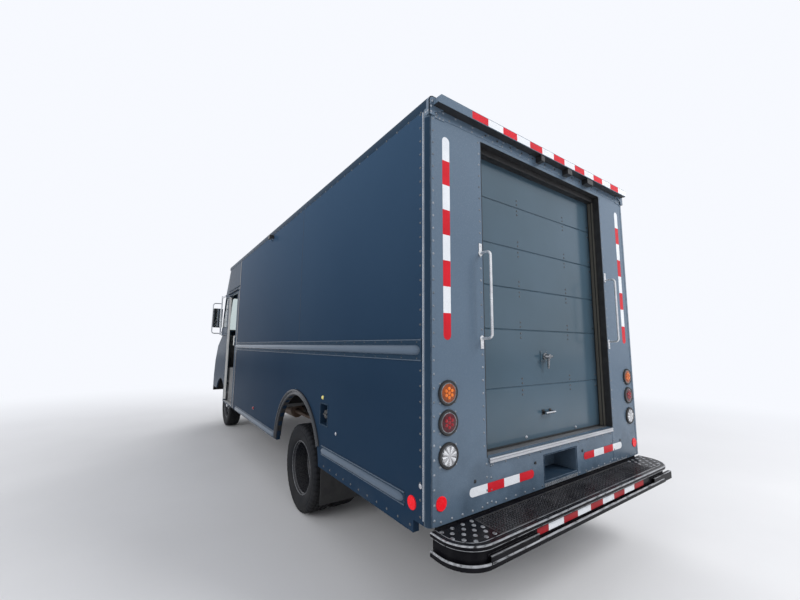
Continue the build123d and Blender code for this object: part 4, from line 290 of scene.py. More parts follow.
# A near-black copy of the door and side paint: painted shade that makes each rivet head a dark dot.
RIVET_PAINTED_SHADE = surface("rivet_painted_shade", (0.012, 0.019, 0.026), (0.03, 0.044, 0.054), 2.5, (0.08, 0.16), 90, 0.02,
                     Coat_Weight=1.0, Coat_Roughness=0.05)
WHEEL_PAINT = surface("wheel_paint", (0.012, 0.014, 0.02), (0.022, 0.024, 0.03), 9.0, (0.2, 0.35), 120, 0.1,
                      low_tint=(EARTH, 0.9, 0.15), edge=((0.22, 0.23, 0.25), 0.004))
BLACK_TRIM = surface("black_trim", (0.016, 0.02, 0.026), (0.026, 0.03, 0.036), 6.0, (0.12, 0.22), 200, 0.03,
                     low_tint=(EARTH, 0.9, 0.3))
STEP_BLACK = surface("step_black", (0.004, 0.004, 0.006), (0.009, 0.009, 0.011), 16.0, (0.16, 0.3), 160,
                     0.12,
                     low_tint=(EARTH, 0.9, 0.03), edge=((0.22, 0.22, 0.23), 0.0018), Specular_IOR_Level=0.05)
BLACK = surface("black_coat", (0.018, 0.018, 0.02), (0.03, 0.03, 0.032), 8.0, (0.32, 0.5), 200, 0.08,
                low_tint=(EARTH, 1.0, 0.35))

# Metals
OLD_TRACK = surface("track_metal", (0.115, 0.108, 0.088), (0.085, 0.08, 0.066), 5.0, (0.35, 0.5), 90, 0.06,
                    stretch=(1, 1, 0.2), low_tint=(EARTH, 1.4, 0.3))
LATCH_STEEL = surface("latch_steel", (0.3, 0.31, 0.33), (0.16, 0.17, 0.18), 40.0, (0.2, 0.4), 120, 0.1,
                      Metallic=0.7)
BRIGHT_TRIM = surface("bright_trim", (0.42, 0.45, 0.49), (0.3, 0.33, 0.37), 12.0, (0.2, 0.35), 120, 0.05,
                      Metallic=0.6)
KICK_METAL = surface("kick_plate", (0.68, 0.69, 0.7), (0.58, 0.59, 0.6), 5.0, (0.3, 0.45), 80, 0.06,
                     stretch=(1, 5, 1), low_tint=(EARTH, 1.0, 0.4), Metallic=0.35)
# The light edge tone on the grating teeth is partly wear and partly a painted highlight on the tooth tops.
TREAD_WEAR_AND_HIGHLIGHT = surface("tread_wear_and_highlight", (0.012, 0.012, 0.016), (0.045, 0.046, 0.052), 5.0, (0.2, 0.35), 140, 0.1,
                     edge=((0.26, 0.26, 0.28), 0.0012), Specular_IOR_Level=0.25)
# Light metal for the step's edge strips and buttons: partly wear, partly a painted highlight along the nosing
# and lips.
EDGE_WEAR_AND_HIGHLIGHT = surface("edge_wear_and_highlight", (0.42, 0.43, 0.45), (0.2, 0.205, 0.215), 60.0, (0.25, 0.45), 140, 0.12,
                    stretch=(0.25, 1, 1), streak=((0.03, 0.03, 0.032), 60.0, 0.6), Metallic=0.5)
ALUMINIUM = surface("aluminium", (0.62, 0.63, 0.65), (0.5, 0.51, 0.53), 3.0, (0.28, 0.42), 60, 0.06,
                    stretch=(1, 6, 6), low_tint=(EARTH, 0.9, 0.3), Metallic=1.0)
BRIGHT = surface("bright_steel", (0.72, 0.73, 0.75), (0.58, 0.59, 0.62), 9.0, (0.16, 0.3), 120, 0.04,
                 Metallic=1.0)
HANDLE = surface("handle_aluminium", (0.8, 0.81, 0.82), (0.66, 0.67, 0.69), 22.0, (0.25, 0.4), 160, 0.04,
                 Metallic=0.7)
FLOOR_METAL = surface("load_floor", (0.42, 0.42, 0.42), (0.3, 0.3, 0.31), 4.0, (0.35, 0.6), 45, 0.2,
                      stretch=(1, 8, 1), low_tint=(EARTH, 1.1, 0.5), Metallic=0.8)
ROOF_SKIN = surface("roof_skin", (0.66, 0.67, 0.67), (0.55, 0.56, 0.57), 1.3, (0.35, 0.5), 60, 0.05,
                    streak=((0.42, 0.42, 0.4), 2.5, 0.62), Coat_Weight=0.1)
CHASSIS = surface("chassis_black", (0.022, 0.022, 0.023), (0.04, 0.037, 0.034), 5.0, (0.5, 0.7), 90, 0.25,
                  streak=((0.1, 0.055, 0.03), 9.0, 0.66), low_tint=(EARTH, 1.2, 0.55))
CAST = surface("cast_iron", (0.03, 0.028, 0.027), (0.055, 0.043, 0.034), 6.0, (0.6, 0.8), 110, 0.4,
               low_tint=(EARTH, 0.8, 0.2))
RUST_STEEL = surface("hot_steel", (0.25, 0.2, 0.16), (0.15, 0.1, 0.07), 6.0, (0.5, 0.7), 80, 0.3,
                     Metallic=0.6)
MIRROR = surface("mirror_glass", (0.8, 0.82, 0.83), (0.76, 0.78, 0.8), 6.0, (0.02, 0.05), 30, 0.0,
                 Metallic=1.0)

# Rubber, plastics, glass, lenses, tape and fabric
LINER = surface("white_liner", (0.62, 0.62, 0.6), (0.54, 0.54, 0.52), 1.6, (0.45, 0.6), 90, 0.05)
WHITE_PLASTIC = surface("white_plastic", (0.78, 0.79, 0.78), (0.7, 0.71, 0.7), 8.0, (0.3, 0.42), 200, 0.03,
                        low_tint=(EARTH, 2.0, 0.15))
TYRE = surface("tyre_rubber", (0.005, 0.006, 0.008), (0.01, 0.011, 0.014), 6.0, (0.6, 0.8), 220, 0.25,
               low_tint=(EARTH, 0.9, 0.07), Specular_IOR_Level=0.2)
RUBBER = surface("seal_rubber", (0.012, 0.012, 0.013), (0.022, 0.022, 0.022), 20.0, (0.45, 0.65), 200, 0.1)
PLASTIC = surface("grey_plastic", (0.075, 0.078, 0.082), (0.095, 0.098, 0.1), 6.0, (0.45, 0.6), 420, 0.25)
BLACK_PLASTIC = surface("black_plastic", (0.02, 0.02, 0.021), (0.03, 0.03, 0.031), 9.0, (0.3, 0.45),
                        380, 0.15)
PALE_LENS = surface("pale_lens", (0.9, 0.82, 0.3), (0.8, 0.7, 0.22), 30.0, (0.1, 0.2), 90, 0.05)
RED_LENS = surface("red_lens", (0.34, 0.01, 0.018), (0.22, 0.006, 0.012), 30.0, (0.1, 0.2), 90, 0.05,
                   Specular_IOR_Level=0.35)
REFLECTOR_RED = surface("reflector_red", (0.92, 0.01, 0.02), (0.8, 0.008, 0.016), 20.0, (0.2, 0.3), 160,
                        0.05, Specular_IOR_Level=0.2)
RED_DARK = surface("red_lens_ground", (0.1, 0.008, 0.014), (0.05, 0.005, 0.008), 40.0, (0.12, 0.2), 90, 0.05,
                   Specular_IOR_Level=0.4)
AMBER_LENS = surface("amber_lens", (0.86, 0.21, 0.014), (0.62, 0.12, 0.008), 30.0, (0.1, 0.2), 90, 0.05,
                     Specular_IOR_Level=0.4)
AMBER_DARK = surface("amber_lens_ground", (0.3, 0.06, 0.006), (0.18, 0.035, 0.004), 40.0, (0.12, 0.2), 90,
                     0.05, Specular_IOR_Level=0.4)
CLEAR_LENS = surface("clear_lens", (0.8, 0.81, 0.82), (0.62, 0.63, 0.65), 30.0, (0.05, 0.12), 60, 0.08,
                     Coat_Weight=0.8, Metallic=0.35)
PETAL_DARK = surface("lamp_petal_dark", (0.34, 0.34, 0.35), (0.22, 0.22, 0.23), 20.0, (0.1, 0.2), 80, 0.03,
                     Coat_Weight=0.8)
TAPE_RED = surface("tape_red", (0.66, 0.012, 0.026), (0.54, 0.01, 0.02), 6.0, (0.3, 0.4), 300, 0.03,
                   cells=300.0, Specular_IOR_Level=0.2)
TAPE_WHITE = surface("tape_white", (0.82, 0.84, 0.87), (0.74, 0.77, 0.81), 6.0, (0.3, 0.4), 300, 0.03,
                     cells=300.0, Specular_IOR_Level=0.2)
TAPE_DIM_RED = surface("tape_red_soiled", (0.3, 0.008, 0.014), (0.4, 0.01, 0.018), 12.0, (0.3, 0.45),
                       300, 0.03, cells=300.0, low_tint=(EARTH, 0.9, 0.2), Specular_IOR_Level=0.15)
GLASS = surface("window_glass", (0.62, 0.7, 0.68), (0.58, 0.67, 0.65), 3.0, (0.0, 0.02), 30, 0.0,
                Transmission_Weight=1.0, IOR=1.45)
FABRIC = surface("seat_fabric", (0.045, 0.048, 0.054), (0.062, 0.065, 0.072), 9.0, (0.8, 0.95), 700, 0.5,
                 cells=420.0, Sheen_Weight=0.35)
PIPING = surface("seat_piping", (0.03, 0.031, 0.033), (0.045, 0.046, 0.048), 30.0, (0.5, 0.7), 300, 0.2)


def dress(node, material, bevel):
    """Give a carried-over CAD node its finish and soft edges."""
    piece = nodes[node]
    piece.data.materials.clear()
    piece.data.materials.append(material)
    if "custom_normal" in piece.data.attributes:
        piece.data.attributes.remove(piece.data.attributes["custom_normal"])
    weld = piece.modifiers.new("weld", "WELD")
    weld.merge_threshold = 0.00002
    if bevel:
        add_bevel(piece, bevel)
    split = piece.modifiers.new("split", "EDGE_SPLIT")
    split.split_angle = math.radians(32)
    for face in piece.data.polygons:
        face.use_smooth = True


# columns: finish, edge softness, nodes
for finish, softness, names in (
    (PAINT_SIDE_SHADED, 0.001, "side_panel_left side_panel_right fuel_filler"), (PAINT_REAR_SUNLIT, 0.0008, "rear_frame"),
    (PAINT_REAR_SUNLIT, 0.001, "step_pocket"), (PAINT_REAR_SUNLIT, 0.003, "header_rail"),
    (PAINT_DOOR, 0.0015, "rear_door"),
    (PAINT_CAB, 0.002, "door_frames cab_front"), (PAINT_CAB, 0.003, "door_left door_right"),
    (PAINT_CAB, 0.004, "nose hood"), (ROOF_SKIN, 0, "roof"), (FLOOR_METAL, 0, "floor"),
    (LINER, 0.002, "partition"), (PLASTIC, 0.008, "dashboard"), (OLD_TRACK, 0.001, "door_tracks"),
    (GLASS, 0, "windscreen door_left_glass door_right_glass"), (BLACK_PLASTIC, 0.002, "grille"),
    (BLACK, 0.006, "front_bumper"), (ALUMINIUM, 0.001, "threshold"), (ALUMINIUM, 0.003, "fuel_tank"),
    (CHASSIS, 0.002, "chassis_frame leaf_springs"), (CHASSIS, 0.001, "tie_rod"),
    (RUST_STEEL, 0.002, "exhaust"),
    (CAST, 0.003, "knuckle_left knuckle_right"), (CAST, 0.004, "rear_axle"), (CAST, 0.005, "front_axle"),
    (CAST, 0.012, "engine"),
):
    for node in names.split():
        dress(node, finish, softness)

# Tread, shoulders and sidewalls of the six tyres
PITCHES = 48
PITCH_STEPS = 6
# columns: place across the tread, radius, depth of the cross cuts there, turn of the cuts in steps
TYRE_PROFILE = [(-0.0935, 0.248, 0, 0), (-0.0985, 0.256, 0, 0), (-0.104, 0.27, 0, 0), (-0.1085, 0.296, 0, 0),
                (-0.1122, 0.32, 0, 0), (-0.1128, 0.345, 0, 0), (-0.1112, 0.346, 0, 0),
                (-0.1105, 0.356, 0, 0),
                (-0.1112, 0.358, 0, 0), (-0.106, 0.378, 0.006, 0), (-0.098, 0.396, 0.01, 0),
                (-0.09, 0.402, 0.011, 0), (-0.064, 0.4045, 0.011, 0), (-0.062, 0.394, 0, 0),
                (-0.055, 0.394, 0, 0), (-0.053, 0.4048, 0.008, 2), (-0.024, 0.405, 0.008, 3),
                (-0.022, 0.394, 0, 0), (-0.015, 0.394, 0, 0), (-0.013, 0.405, 0.005, 4)]
TYRE_PROFILE += [(-across, radius, cut, turn + 1) for across, radius, cut, turn in reversed(TYRE_PROFILE)]


def tyre(shape, middle, axle_y):
    """One tyre with grooved tread blocks and ribbed sidewalls, standing on the ground."""
    loops = []
    for across, radius, cut, turn in TYRE_PROFILE:
        loop = []
        for step, angle in enumerate(turns(PITCHES * PITCH_STEPS)):
            inside = (step + turn) % PITCH_STEPS < 2
            reach = radius - cut if inside else radius
            loop.append((middle + across, axle_y + reach * math.cos(angle), HUB_Z + reach * math.sin(angle)))
        loops.append(loop)
    shape.loft(loops, closed=True)


for name, body, middles, axle_y, node in (
    ("tyre_front_left", "front_wheel_left", (0.94,), FRONT_AXLE_Y, "front_tyre_left"),
    ("tyre_front_right", "front_wheel_right", (-0.94,), FRONT_AXLE_Y, "front_tyre_right"),
    ("tyres_rear_left", "rear_wheels_left", (1.055, 0.799), REAR_AXLE_Y, "rear_tyres_left"),
    ("tyres_rear_right", "rear_wheels_right", (-1.055, -0.799), REAR_AXLE_Y, "rear_tyres_right"),
):
    shape = Shape()
    for middle in middles:
        tyre(shape, middle, axle_y)
    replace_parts(shape.make(name, TYRE, body, "tyre", smooth=50), node)


# Reflective tape, lamps, rivets and hardware on the rear wall
def tape(start, step, width, count, first, round_ends=True):
    """A strip of blocks in turn white and red: start is the middle of one end, step is one block's vector."""
    start = Vector(start)
    step = Vector(step)
    across = step.cross(Y_AXIS).normalized() * (width / 2)
    tip = step.normalized() * (width / 2)
    for index in range(count):
        low = start + step * index
        high = low + step
        outline = [low + across, low - across, high - across, high + across]
        if round_ends and index in (0, count - 1):
            base, far, sign = (low + tip, high, -1) if index == 0 else (high - tip, low, 1)
            half_turn = [math.pi * k / 10 for k in range(11)]
            outline = [base + tip * (sign * math.sin(turn)) + across * math.cos(turn) for turn in half_turn]
            outline += [far - across, far + across]
        tapes[(index + first) % 2].plate(outline, Y_AXIS * 0.0005)


tapes = [Shape(), Shape()]
for x in (1.082, -1.082):
    tape((x, PLATE_Y, 2.866), (0, 0, -0.155), 0.058, 8, 0)
tape((0.923, PLATE_Y, 0.76), (-0.15, 0, 0), 0.052, 4, 0)
tape((-0.3, PLATE_Y, 0.768), (-0.1515, 0, 0), 0.052, 4, 1)
tape((0.9, WALL_Y + 0.057, 3.06), (-0.1495, 0, 0), 0.05, 14, 1, round_ends=False)
tapes[0].make("tape_white", TAPE_WHITE, slot="lamp_clear")
tapes[1].make("tape_red", TAPE_RED, slot="lamp_red")

LAMP_X = 1.083
LAMPS = ((1.33, "amber"), (1.168, "red"), (0.992, "clear"))
grommets = Shape()
lamp_rings = Shape()
grounds = {"amber": Shape(), "red": Shape(), "clear": Shape()}
cells = {"amber": Shape(), "red": Shape(), "clear": Shape()}
petals = Shape()
for x in (LAMP_X, -LAMP_X):
    for z, colour in LAMPS:
        centre = (x, PLATE_Y, z)
        grommets.lathe([(0, 0.0715), (0.007, 0.0715), (0.012, 0.068), (0.012, 0.0585), (0.004, 0.056)],
                       centre, Y_AXIS)
        lamp_rings.lathe([(0.005, 0.058), (0.0105, 0.0578), (0.0115, 0.056), (0.01, 0.0545)], centre, Y_AXIS)
        lens = [(0.004, 0.053), (0.01, 0.052), (0.0125, 0.036), (0.0135, 0.016), (0.0138, 0.001)]
        grounds[colour].lathe(lens, centre, Y_AXIS)
        if colour == "clear":
            for petal in range(16):
                shape = cells["clear"] if petal % 2 else petals
                fan = [(x, PLATE_Y + 0.0145, z)]
                for offset, rise in ((0, 0), (0.5, 0.004), (1, 0)):
                    turn = 2 * math.pi * (petal + offset) / 16
                    fan.append((x + 0.051 * math.cos(turn), PLATE_Y + 0.0105 + rise,
                                z + 0.051 * math.sin(turn)))
                shape.add(fan, [(0, 1, 2), (0, 2, 3)])
            continue
        spots = [(0, 0)] + [(0.0245, math.radians(60 * k + 30)) for k in range(6)]
        for radius, turn in spots:
            middle = (x + radius * math.cos(turn), PLATE_Y + 0.0115, z + radius * math.sin(turn))
            cells[colour].lathe([(0, 0.0108), (0.0025, 0.01), (0.0042, 0.0055), (0.0044, 0.0005)], middle,
                                Y_AXIS, 12)
grommets.make("lamp_grommets", RUBBER, slot="rubber")
lamp_rings.make("lamp_rings", LATCH_STEEL, slot="bright_steel")
grounds["amber"].make("lamp_amber_ground", AMBER_DARK, slot="lamp_amber")
grounds["red"].make("lamp_red_ground", RED_DARK, slot="lamp_red")
grounds["clear"].make("lamp_clear_ground", BRIGHT, slot="lamp_clear")
cells["amber"].make("lamp_amber_cells", AMBER_LENS, slot="lamp_amber")
cells["red"].make("lamp_red_cells", RED_LENS, slot="lamp_red")
cells["clear"].make("lamp_clear_flutes", CLEAR_LENS, slot="lamp_clear")
petals.make("lamp_clear_petals", PETAL_DARK, slot="lamp_clear")
reflectors = Shape()
for centre, normal in (((1.137, PLATE_Y, 0.754), Y_AXIS), ((SIDE, 3.498, 0.73), X_AXIS)):
    reflectors.lathe([(0, 0.038), (0.004, 0.0375), (0.006, 0.035), (0.0055, 0.033), (0.0062, 0.016),
                      (0.0064, 0.001)], centre, normal, 40)
reflectors.mirror()
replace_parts(reflectors.make("reflectors", REFLECTOR_RED, slot="lamp_red"), "rear_lamps")


def rivet_row(shape, start, end, pitch, normal, radius=0.0075, skip=()):
    """Rivets from start to end at about a pitch; skip lists heights that stay free."""
    start = Vector(start)
    end = Vector(end)
    count = max(1, round((end - start).length / pitch))
    for index in range(count + 1):
        point = start.lerp(end, index / count)
        if not any(low < point.z < high for low, high in skip):
            shape.dome(point, normal, radius, radius * 0.55)


rear_rivets = Shape()
for side in (1, -1):
    # columns: x and z at the start, x and z at the end, depth, pitch
    for x0, z0, x1, z1, y, pitch in (
        (1.186, 0.68, 1.186, 2.95, PLATE_Y + 0.0018, 0.075), (0.777, 0.675, 0.777, 0.895, PLATE_Y, 0.072),
        (0.737, 0.675, 0.737, 0.88, WALL_Y, 0.068), (0.82, 0.662, 1.14, 0.662, PLATE_Y, 0.08),
    ):
        rivet_row(rear_rivets, (side * x0, y, z0), (side * x1, y, z1), pitch, Y_AXIS)
    x = side * 0.793
    rivet_row(rear_rivets, (x, PLATE_Y, 1.0), (x, PLATE_Y, 2.93), 0.078, Y_AXIS,
              skip=((1.6, 1.68), (2.18, 2.26)))
    for z, _ in LAMPS:
        for turn in (45, 135, 225, 315):
            angle = math.radians(turn)
            centre = (side * LAMP_X + 0.082 * math.cos(angle), PLATE_Y, z + 0.074 * math.sin(angle))
            rear_rivets.dome(centre, Y_AXIS, 0.0075, 0.004)
# columns: half length, depth, height, pitch
for half, y, z, pitch in ((0.7, WALL_Y, 0.662, 0.094), (0.72, WALL_Y, 0.884, 0.12),
                          (1.15, PLATE_Y, 2.986, 0.1), (1.15, PLATE_Y, 3.02, 0.15)):
    rivet_row(rear_rivets, (-half, y, z), (half, y, z), pitch, Y_AXIS)
rear_rivets.make("rivets_rear", RIVET_SHADE_AND_HIGHLIGHT)

door_rivets = Shape()
for z in (1.31, 1.71, 2.01, 2.31, 2.63):
    for places, rises in (((0.275, -0.335), (-0.055, -0.024, 0.024, 0.055)),
                          ((-0.735, 0.735), (-0.045, 0.045))):
        for x in places:
            for rise in rises:
                door_rivets.dome((x, DOOR_Y, z + rise), Y_AXIS, 0.0082, 0.0042)
door_rivets.make("rivets_door", RIVET_PAINTED_SHADE)
door_bolts = Shape()
for x, z in ((0.253, 0.962), (-0.383, 0.957)):
    bolt = [(0, 0.011), (0.003, 0.0105), (0.004, 0.006), (0.009, 0.0058), (0.01, 0.004)]
    door_bolts.lathe(bolt, (x, DOOR_Y, z), Y_AXIS, 16)
door_bolts.make("door_bolts", BRIGHT, slot="bright_steel")
plugs = Shape()
for x, z in ((0.877, 0.817), (0.302, 0.823), (-0.286, 0.812), (-0.885, 0.808)):
    plugs.lathe([(0, 0.01), (0.002, 0.0098), (0.003, 0.007), (0.0032, 0.001)], (x, PLATE_Y, z), Y_AXIS, 16)
plugs.make("rubber_plugs", RUBBER, slot="rubber")

handles = Shape()
GRIP_Y = WALL_Y + 0.085
for x in (0.795, -0.795):
    corners = [(PLATE_Y, 1.64), (GRIP_Y, 1.64), (GRIP_Y, 2.178), (PLATE_Y, 2.178)]
    handles.tube(bent([(x, y, z) for y, z in corners], 0.027), 0.0084, 20)
    for z, lean in ((1.64, -1), (2.178, 1)):
        foot = z + lean * 0.028
        handles.lathe([(0, 0.018), (0.004, 0.0175), (0.006, 0.013), (0.009, 0.0102)], (x, PLATE_Y, z),
                      Y_AXIS, 28)
        handles.box((x - 0.013, PLATE_Y, foot - 0.036), (x + 0.013, PLATE_Y + 0.004, foot + 0.036))
        handles.dome((x, PLATE_Y + 0.004, z + lean * 0.046), Y_AXIS, 0.008, 0.004, 12)
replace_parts(handles.make("grab_rails", HANDLE, slot="aluminium", bevel=0.001), "grab_handles")

seals = Shape()
seals.box((0.757, DOOR_Y, 0.93), (0.769, DOOR_Y + 0.055, 2.945))
seals.box((0.7668, DOOR_Y + 0.05, 0.93), (0.7688, WALL_Y + 0.0015, 2.945))
seals.box((0.7695, PLATE_Y, 0.93), (0.7735, PLATE_Y + 0.0012, 2.945))
seals.mirror()
seals.box((-0.757, DOOR_Y, 2.905), (0.757, DOOR_Y + 0.05, 2.946))
# The thin black sheet across the underside of the door head is painted shade.
seals.box((-0.768, DOOR_Y + 0.045, 2.9445), (0.768, WALL_Y + 0.0015, 2.9465))
seals.box((-0.757, DOOR_Y - 0.012, 0.9265), (0.757, DOOR_Y + 0.006, 0.938))
seals.make("door_seals_and_soffit_shade", RUBBER, slot="rubber", bevel=0.002)


# Rails, arch flares and small fittings along the sides
def half_round(stand, rise, steps=14):
    """A half circle as (stand, rise) pairs."""
    angles = [math.pi * k / steps for k in range(steps + 1)]
    return [(stand * math.sin(turn), -rise * math.cos(turn)) for turn in angles]


def swept_side(shape, profile, y_low, y_high, z, tip=0.0):
    """A rail along the left wall: profile holds (stand, rise) pairs; tip rounds the ends over that length."""
    stations = [(y_low, 1.0), (y_high, 1.0)]
    if tip:
        quarter = [math.pi / 2 * k / 8 for k in range(1, 9)]
        rounded = [(tip * (1 - math.cos(turn)), math.sin(turn)) for turn in quarter]
        stations = [(y_low + run, share) for run, share in rounded]
        stations += [(y_high - run, share) for run, share in reversed(rounded)]
    shape.loft([[(SIDE + stand * share, y, z + rise * share) for stand, rise in reversed(profile)]
                for y, share in stations])


def border(shape, x_low, x_high, y_low, y_high, z_low, z_high, out, into):
    """Four bars round an opening in a side wall, reaching out past its edges and into it."""
    for z0, z1 in ((z_high - into, z_high + out), (z_low - out, z_low + into)):
        shape.box((x_low, y_low - out, z0), (x_high, y_high + out, z1))
    for y0, y1 in ((y_low - out, y_low + into), (y_high - into, y_high + out)):
        shape.box((x_low, y0, z_low + into), (x_high, y1, z_high - into))


FLANGE_X = SIDE + 0.0045
rails = Shape()
rail_highlight_beads = Shape()
bulges = Shape()
side_rivets = Shape()
# columns: front y, rear y, height, flange half height, bulge half height, bulge stand
for y_low, y_high, z, flange, bulge, stand in (
    (-1.355, 3.585, 1.567, 0.062, 0.03, 0.032), (2.245, 3.43, 0.727, 0.038, 0.026, 0.024),
    (-1.175, 0.945, 0.59, 0.038, 0.026, 0.024),
):
    rails.box((SIDE, y_low, z - flange), (FLANGE_X, y_high, z + flange))
    swept_side(bulges, half_round(stand, bulge), y_low + 0.006, y_high - 0.01, z, 0.045)
    for rise in (flange - 0.004, 0.004 - flange):
        swept_side(rail_highlight_beads, half_round(0.0085, 0.004, 6), y_low, y_high, z + rise)
    for rise in (-(flange + bulge) / 2, (flange + bulge) / 2):
        ends = [(FLANGE_X, y, z + rise) for y in (y_low + 0.04, y_high - 0.04)]
        rivet_row(side_rivets, *ends, 0.15, X_AXIS, 0.005)
# columns: y and z at the start, y and z at the end, pitch
for y0, z0, y1, z1, pitch in (
    (3.572, 0.68, 3.572, 3.0, 0.085), (-1.372, 0.6, -1.372, 3.0, 0.11), (-1.36, 3.012, 3.58, 3.012, 0.13),
    (2.3, 0.61, 3.48, 0.61, 0.12), (-2.305, 0.62, -2.305, 2.95, 0.12),
):
    rivet_row(side_rivets, (SIDE, y0, z0), (SIDE, y1, z1), pitch, X_AXIS)
for shape in (rails, rail_highlight_beads, bulges, side_rivets):
    shape.mirror()
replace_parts(rails.make("side_rails", PAINT_RAIL, bevel=0.0008), "rub_rails")
# Bulges and flange-edge beads take the lighter bulge paint, a painted highlight.
rail_highlight_beads.make("rail_highlight_beads", PAINT_BULGE_HIGHLIGHT)
bulges.make("rail_bulges", PAINT_BULGE_HIGHLIGHT)
side_rivets.make("rivets_side", RIVET_PAINTED_SHADE)

seams = Shape()
for y_low, y_high, z_low, z_high in (
    (3.6015, 3.6055, 0.648, 3.03), (-1.3965, -1.3935, 0.555, 3.028), (-2.3365, -2.3335, 0.7, 3.05),
    (1.59, 1.593, 1.63, 3.0), (-1.39, 3.6, 3.0285, 3.0315),
):
    seams.box((SIDE, y_low, z_low), (SIDE + 0.0006, y_high, z_high))
seams.mirror()
seams.make("panel_seams", RUBBER, slot="rubber")

# Round cover, flat plate and bright bead down each rear corner; the bright bead is a painted highlight on the
# rounded corner
corner_covers = Shape()
arc = [math.radians(4 * k) for k in range(17)]
outline = [(1.188 + reach * math.cos(turn), 3.613 + reach * math.sin(turn), 0.648)
           for reach, angles in ((0.0335, arc), (0.0322, arc[::-1])) for turn in angles]
corner_covers.plate(outline, (0, 0, 2.31))
corner_covers.mirror()
corner_covers.make("corner_covers", PAINT_RAIL)
flat_covers = Shape()
flat_covers.box((1.172, PLATE_Y - 0.0003, 0.648), (1.1985, PLATE_Y + 0.0018, 2.968))
flat_covers.mirror()
flat_covers.make("corner_plates", PAINT_REAR_SUNLIT, bevel=0.0004)
# The bright bead is a painted highlight down the rounded corner.
corner_highlight_beads = Shape()
bead = half_round(0.0045, 0.006, 8)
corner_highlight_beads.loft([[(SIDE + stand, 3.598 + rise, z) for stand, rise in bead] for z in (0.67, 3.0)])
corner_highlight_beads.mirror()
corner_highlight_beads.make("corner_highlight_beads", BRIGHT_TRIM, slot="aluminium")

# Roof moulding along the eave, with drip rails over the doorway; cover strip over the cab joint
moulding = Shape()
outline = [(1.2203, 3.012), (1.2222, 3.014), (1.2222, 3.064), (1.216, 3.079), (1.201, 3.0865),
           (1.13, 3.0895), (1.13, 3.086), (1.19, 3.06), (1.21, 3.04)]
moulding.plate([(x, 3.63, z) for x, z in outline], (0, -6.03, 0))
rivet_row(moulding, (1.2222, -2.3, 3.024), (1.2222, 3.52, 3.024), 0.16, X_AXIS, 0.006)
moulding.box((SIDE, -2.335, 2.53), (SIDE + 0.022, -1.5, 2.538))
moulding.box((SIDE + 0.014, -2.335, 2.53), (SIDE + 0.022, -1.5, 2.552))
moulding.box((SIDE, -2.335, 2.592), (SIDE + 0.01, -1.43, 2.606))
moulding.mirror()
moulding.make("roof_moulding", PAINT_RAIL, bevel=0.0008)
joint_strips = Shape()
joint_strips.box((SIDE, -1.412, 0.56), (SIDE + 0.003, -1.378, 3.011))
joint_strips.mirror()
joint_strips.make("joint_strips", BLACK_TRIM, slot="black_metal", bevel=0.001)
# The thin black strip under the header rail is a painted shadow; the three boxes below it are black parts.
header_shadow_and_boxes = Shape()
header_shadow_and_boxes.box((-1.186, PLATE_Y + 0.001, 3.0284), (1.186, WALL_Y + 0.0565, 3.0298))
for x, half in ((-0.545, 0.0462), (-0.23, 0.0312), (0.138, 0.0212)):
    header_shadow_and_boxes.box((x - half, PLATE_Y + 0.0005, 2.9838), (x + half, PLATE_Y + 0.0512, 3.0284))
header_shadow_and_boxes.make("header_painted_shadow_and_boxes", BLACK_PLASTIC, slot="black_metal", bevel=0.001)
flaps = Shape()
flaps.box((0.69, 2.112, 0.23), (1.165, 2.12, 0.91))
flaps.box((0.68, 2.106, 0.86), (1.17, 2.126, 0.92))
flaps.mirror()
flaps.make("mud_flaps", RUBBER, slot="rubber", bevel=0.001)


def arch(shape, section, start, end, steps):
    """A (radius, stand) section carried round the rear wheel opening between two angles in degrees."""
    loops = []
    for step in range(steps + 1):
        turn = math.radians(start + (end - start) * step / steps)
        loops.append([(SIDE + stand, REAR_AXLE_Y + radius * math.cos(turn), 0.51 + radius * math.sin(turn))
                      for radius, stand in reversed(section)])
    shape.loft(loops)


flares = Shape()
arch(flares, ((0.59, 0.0), (0.59, 0.007), (0.596, 0.014), (0.603, 0.016), (0.61, 0.013), (0.614, 0.007),
              (0.621, 0.007), (0.625, 0.014), (0.631, 0.021), (0.638, 0.022), (0.643, 0.017), (0.645, 0.008),
              (0.645, 0.0)), 174.6, 21.6, 56)
flares.mirror()
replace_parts(flares.make("wheel_arch_trim", BLACK_TRIM, smooth=60), "arch_flares")
# Black sheets in each rear wheel opening and under the wheel box paint the shade in the wheel well.
wheel_well_shade = Shape()
arch(wheel_well_shade, ((0.5898, 0.001), (0.5898, -0.046), (0.588, -0.046), (0.588, 0.001)), 172, 24, 40)
wheel_well_shade.box((0.634, 1.01, 1.1105), (1.176, 2.18, 1.113))
wheel_well_shade.box((0.633, 1.01, 0.905), (0.636, 2.18, 1.1105))
for y in (1.01, 2.177):
    wheel_well_shade.box((0.636, y, 0.93), (1.176, y + 0.003, 1.1105))
wheel_well_shade.mirror()
wheel_well_shade.make("wheel_well_shade_sheets", RUBBER, slot="rubber")

